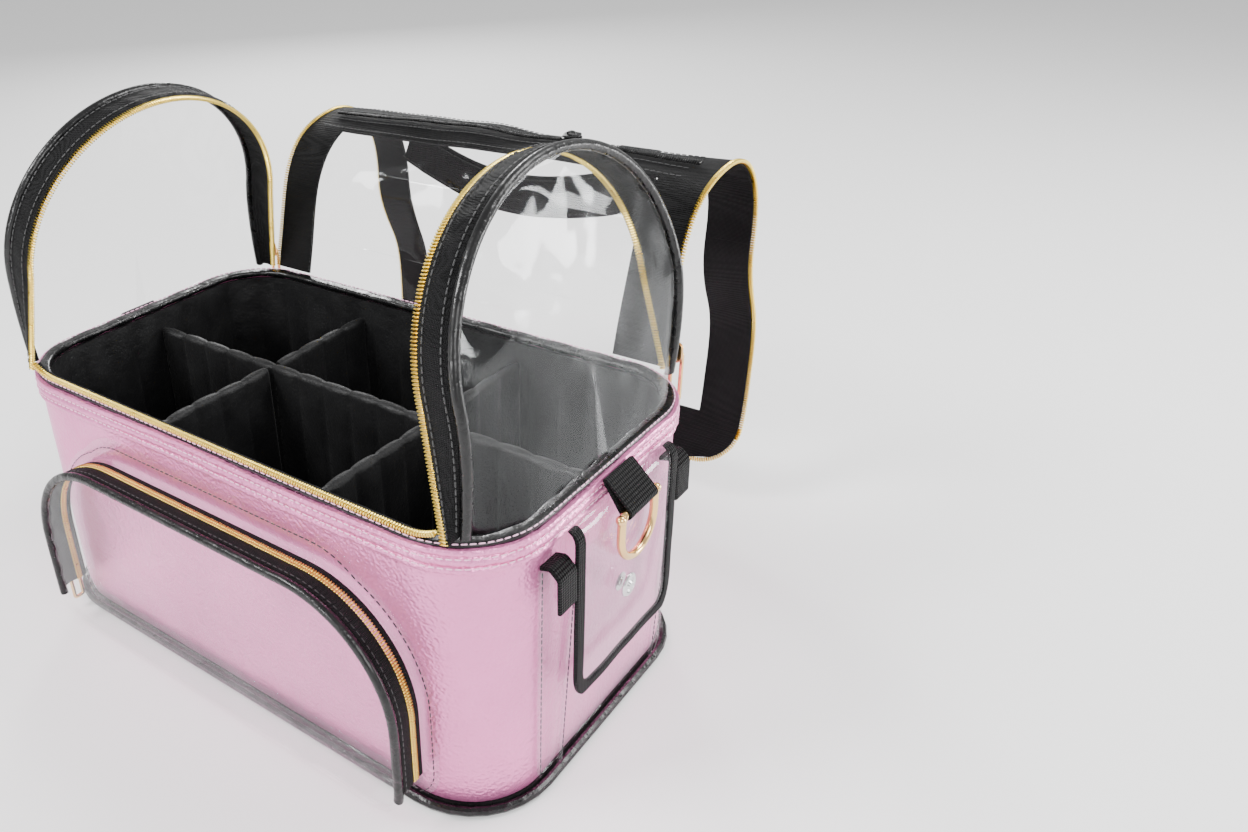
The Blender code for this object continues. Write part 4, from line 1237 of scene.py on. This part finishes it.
# ---------------------------------------------------------------- the side pockets
def make_side_pocket(side, sign):
    """A clear pocket with a gusset that widens to its mouth, and dashed seams down both edges."""
    low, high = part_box(f"side_pocket_{side}")
    inner = min(abs(low.x), abs(high.x))
    mouth = max(abs(low.x), abs(high.x)) - inner
    foot = SIDE_POCKET_FOOT
    half = high.y
    grid = []
    rows = 26
    columns = 46
    for i in range(rows + 1):
        t = i / rows
        z = low.z + (high.z - low.z) * t
        depth = (foot + (mouth - foot) * t) * min(1.0, (t * 14) ** 0.5 + 0.05)
        line = []
        for j in range(columns + 1):
            c = 2 * j / columns - 1
            y = half * math.copysign(abs(c) ** 0.8, c)
            edge = min((1 - abs(c)) * 7.0, 1.0)
            rise = edge * edge * (3 - 2 * edge)
            dent = ripple((y, z, 5.0 * sign), 40.0, 0.0007) * rise
            line.append(Vector((sign * (inner + 0.0003 + depth * rise + dent * 0.6), y, z)))
        grid.append(line)
    front = sheet(f"side_pocket_sheet_{side}", grid, VINYL, "clear_tight", "case")
    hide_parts(f"side_pocket_{side}")
    for end in (-1, 1):
        places = []
        for i in range(round((high.z - low.z) / STITCH_PITCH) - 1):
            z = low.z + 0.004 + STITCH_PITCH * i
            share = (z - low.z) / (high.z - low.z)
            for inset, out in ((0.0022, 0.0009), (0.0155, foot + (mouth - foot) * share + 0.0012)):
                spot = Vector((sign * (inner + out), end * (half - inset), z))
                places.append((spot, Z_WAY, Y_WAY))
        facing = facing_name(end)
        stitches(f"side_pocket_stitches_{side}_{facing}", places, "black_thread", "case")
        edges = ((0.0012, 0.0006, 0.0006), (0.0150, foot, mouth))
        welded = round_section(0.0009, 0.0010, 0.0008)
        for k, (inset, foot_out, mouth_out) in enumerate(edges, start=1):
            line = spaced([(low.z + 0.002, foot_out), (high.z - 0.001, mouth_out)], 0.006)

            def edge(u, v, w, end=end, inset=inset):
                return Vector((sign * (inner + v + 0.0004), end * (half - inset) + w, u))

            name = f"side_pocket_edge_{side}_{facing}_{k}"
            sweep(name, line, welded, edge, "clear_tight", "case")
    make_mouth_corners(side, sign, inner, mouth, high)


def make_mouth_corners(side, sign, inner, mouth, high):
    """The black binding that closes the gusset at both ends of a side pocket's mouth."""
    for end in (-1, 1):
        line = [(0.0, 0.0), (mouth * 0.6, 0.0012), (mouth + 0.0012, -0.003), (mouth + 0.0016, -0.020)]
        y = end * (high.y - MOUTH_BINDING_INSET)

        def place(u, v, w, y=y):
            return Vector((sign * (inner + 0.0004 + u), y + w, high.z + 0.0012 + v))

        patch = sweep(
            f"mouth_binding_{side}_{facing_name(end)}", spaced(line, 0.0015),
            round_section(0.0010, 0.0068, 0.0009), place, "webbing", "case",
        )


def make_side_flap(side, sign):
    """The clear flap: over its shoulder from the rim, then down, bound in black on three sides."""
    low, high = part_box(f"side_flap_{side}")
    hinge = JOINTS[f"side_flap_{side}_open"]["pos_m"]
    face_x = max(abs(low.x), abs(high.x)) - 0.0006
    start = Vector((abs(hinge[0]), hinge[2]))
    shoulder = start + Vector((0.0065, -0.0082))
    bend = Vector((shoulder.x, start.y - 0.0006))
    hem = Vector((face_x, low.z))
    line = [curve(start, bend, shoulder, i / 8) for i in range(9)]
    line += [shoulder.lerp(hem, i / 20) for i in range(1, 21)]
    half = high.y
    body = f"side_flap_{side}"

    def place(y, s, off):
        """Y, share of the way from the rim to the hem, and height off the flap's face."""
        at = min(max(s, 0.0), 1.0) * (len(line) - 1)
        i = min(int(at), len(line) - 2)
        x, z = line[i].lerp(line[i + 1], at - i)
        run = s * s
        puff = 0.0012 * math.sin(math.pi * run) * (1 - (y / half) ** 2)
        return Vector((sign * (x + off + puff + ripple((y, z, 2.0 * sign), 45.0, 0.0006) * run), y, z))

    grid = []
    for i in range(31):
        grid.append([place(half * (2 * j / 24 - 1), i / 30, 0.0) for j in range(25)])
    flap = sheet(f"flap_sheet_{side}", grid, VINYL, "clear_tight", body)
    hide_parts(f"side_flap_{side}")
    reach = start.y - hem.y

    def bound(u, v, w):
        """U is Y, v is height over the hem, and w is height off the face."""
        return place(u, 1.0 - v / reach, w)

    corner = 0.010
    edge = half - 0.0022
    outline = [(-edge, reach * 0.93), (-edge, corner)]
    outline += arc((-edge + corner, corner + 0.0005), corner, 180, 270, 6)
    outline += arc((edge - corner, corner + 0.0005), corner, 270, 360, 6)
    outline += [(edge, reach * 0.93)]
    binding = sweep(
        f"flap_binding_{side}", spaced(outline, 0.0022),
        round_section(0.0032, 0.0012, 0.0011, (0.0, 0.0002)), bound, "webbing", body,
    )
    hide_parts(f"side_flap_binding_{side}")
    make_snap(side, sign, body)


def turned(name, profile, centre, out, look, body, steps=28, sharp=35.0):
    """A round piece turned about an axis, from (radius, height) points."""
    side = Z_WAY.cross(out).normalized()
    up = out.cross(side)
    rows = []
    for radius, height in profile:
        row = []
        for k in range(steps):
            turn = 2 * math.pi * k / steps
            around = side * (radius * math.cos(turn)) + up * (radius * math.sin(turn))
            row.append(centre + around + out * height)
        rows.append(row)
    bm = bmesh.new()
    add_loft(bm, rows, False)
    return piece(name, bm, look, body, sharp)


def make_snap(side, sign, body):
    out = X_WAY * sign
    low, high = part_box(f"snap_cap_{side}")
    radius = (high.y - low.y) / 2
    foot = min(abs(low.x), abs(high.x))
    centre = Vector((sign * foot, 0.0, (low.z + high.z) / 2))
    profile = (
        (radius, 0.0), (radius, 0.0006), (radius * 0.9, 0.0012), (radius * 0.66, 0.0014),
        (radius * 0.60, 0.0009), (radius * 0.42, 0.0010), (radius * 0.34, 0.0021), (radius * 0.12, 0.0024),
    )
    cap = turned(f"snap_button_{side}", profile, centre, out, "silver", body)
    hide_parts(f"snap_cap_{side}")
    low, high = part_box(f"snap_stud_{side}")
    centre = Vector((sign * min(abs(low.x), abs(high.x)), 0.0, (low.z + high.z) / 2))
    profile = ((0.0046, 0.0), (0.0046, 0.0003), (0.0022, 0.0005), (0.0020, 0.0011), (0.0006, 0.0012))
    stud = turned(f"snap_post_{side}", profile, centre, out, "silver", "case")
    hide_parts(f"snap_stud_{side}")


def make_d_ring(side, sign):
    """The webbing loop at the rim, the D-ring in it, and the ring's ball-ended pin."""
    pin = JOINTS[f"d_ring_{side}_swing"]["pos_m"]
    root = JOINTS[f"strap_{side}_lift"]["pos_m"]
    rise = root[2] - pin[2]
    gap = abs(pin[0]) - abs(root[0])
    down = math.degrees(math.atan2(-rise, gap))
    loop = arc((abs(pin[0]), pin[2]), 0.0026, down - 105, down + 105, 14)
    loop += arc((abs(root[0]), root[2]), 0.0007, down + 105, down + 255, 6)

    def place(u, v, w):
        return Vector((sign * u, w, v))

    band = round_section(0.0006, STRAP_HALF, 0.0005)
    loop = spaced(loop, 0.0010, True)
    strap = sweep(f"ring_strap_{side}", loop, band, place, "webbing", f"strap_{side}", True)
    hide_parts(f"strap_loop_{side}")
    low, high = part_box(f"d_ring_{side}")
    wire = (high.x - low.x) / 2
    wide = (high.y - low.y) / 2 - wire
    drop = high.z - low.z - 2 * wire
    wire *= RING_WIRE_SWELL
    bend = 0.0035
    outline = arc((-wide + bend, -bend), bend, 180, 90, 6) + arc((wide - bend, -bend), bend, 90, 0, 6)
    outline += arc((0.0, -(drop - wide)), wide, 0, -180, 28)

    def hang(u, v, w):
        return Vector((pin[0] + w, u, pin[2] + v))

    ring_line = spaced(outline, 0.0014, True)
    section = arc((0.0, 0.0), wire, 0, 360, 14)[:-1]
    ring = sweep(f"ring_wire_{side}", ring_line, section, hang, "gold", f"ring_{side}", True)
    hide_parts(f"d_ring_{side}")
    profile = [(max(radius, 0.0003), height) for height, radius in arc((0.0, 0.0), PIN_BALL, 180, 0, 8)]
    for end in (-1, 1):
        centre = Vector((pin[0], end * (wide + 0.0010), pin[2] - 0.0012))
        name = f"ring_ball_{side}_{facing_name(end)}"
        turned(name, profile, centre, Y_WAY, "gold", f"ring_{side}", 16, 50.0)


# ---------------------------------------------------------------- stage
def make_stage():
    bpy.ops.mesh.primitive_plane_add(size=8.0, location=(0.0, 0.0, 0.0))
    floor = bpy.context.object
    floor.name = "studio_floor"
    pale = new_material("studio_paper", (0.93, 0.93, 0.93), 0.8)
    fibre = texture(pale, "ShaderNodeTexNoise", 40.0, Detail=2.0)
    vary(pale, "Roughness", fibre.outputs["Fac"], 0.75, 0.85)
    floor.data.materials.append(pale)
    world = bpy.context.scene.world or bpy.data.worlds.new("studio")
    bpy.context.scene.world = world
    world.use_nodes = True
    sky = world.node_tree.nodes["Background"]
    sky.inputs["Color"].default_value = (1.0, 1.0, 1.0, 1.0)
    sky.inputs["Strength"].default_value = 0.80
    lamps = (
        ("key", (-0.55, -0.75, 1.15), 0.45, 20.0),
        ("rim", (0.55, 0.65, 1.10), 0.50, 13.0),
        ("fill", (1.05, -0.55, 0.75), 0.60, 11.0),
        ("strip", (-0.10, -1.10, 0.45), 0.25, 5.0),
        ("side", (1.30, 1.15, 0.30), 0.50, 24.0),
        ("back", (-1.20, 1.30, 0.90), 0.40, 16.0),
    )
    for name, spot, size, power in lamps:
        light = bpy.data.lights.new(name, "AREA")
        light.size = size
        light.energy = power
        lamp = bpy.data.objects.new(name, light)
        bpy.context.scene.collection.objects.link(lamp)
        lamp.location = spot
        aim = Vector((0.0, 0.0, 0.12)) - Vector(spot)
        lamp.rotation_euler = aim.to_track_quat("-Z", "Y").to_euler()


def make_camera():
    """The photograph's viewpoint: a near, wide view from the right front, a little above the dome."""
    yaw = math.radians(40.57)
    pitch = math.radians(28.87)
    roll = math.radians(-3.44)
    spot = Vector((0.353, -0.352, 0.398))
    ahead = Vector((-math.sin(yaw) * math.cos(pitch), math.cos(yaw) * math.cos(pitch), -math.sin(pitch)))
    right = ahead.cross(Z_WAY).normalized()
    up = right.cross(ahead)
    tilted = right * math.cos(roll) + up * math.sin(roll)
    above = -right * math.sin(roll) + up * math.cos(roll)
    lens = bpy.data.cameras.new("camera")
    lens.lens = 30.03
    lens.sensor_width = 36.0
    lens.shift_x = 0.169
    lens.shift_y = -0.0022
    camera = bpy.data.objects.new("camera", lens)
    bpy.context.scene.collection.objects.link(camera)
    turn = Matrix((tilted, above, -ahead)).transposed().to_4x4()
    camera.matrix_world = Matrix.Translation(spot) @ turn
    bpy.context.scene.camera = camera


# ---------------------------------------------------------------- build
make_stage()
make_camera()
make_base()
make_front_zip()
make_cover()
make_handle()
make_front_pocket()
make_sliders()
for side, sign in SIDES:
    make_end_wall(side, sign)
    make_side_pocket(side, sign)
    make_side_flap(side, sign)
    make_d_ring(side, sign)
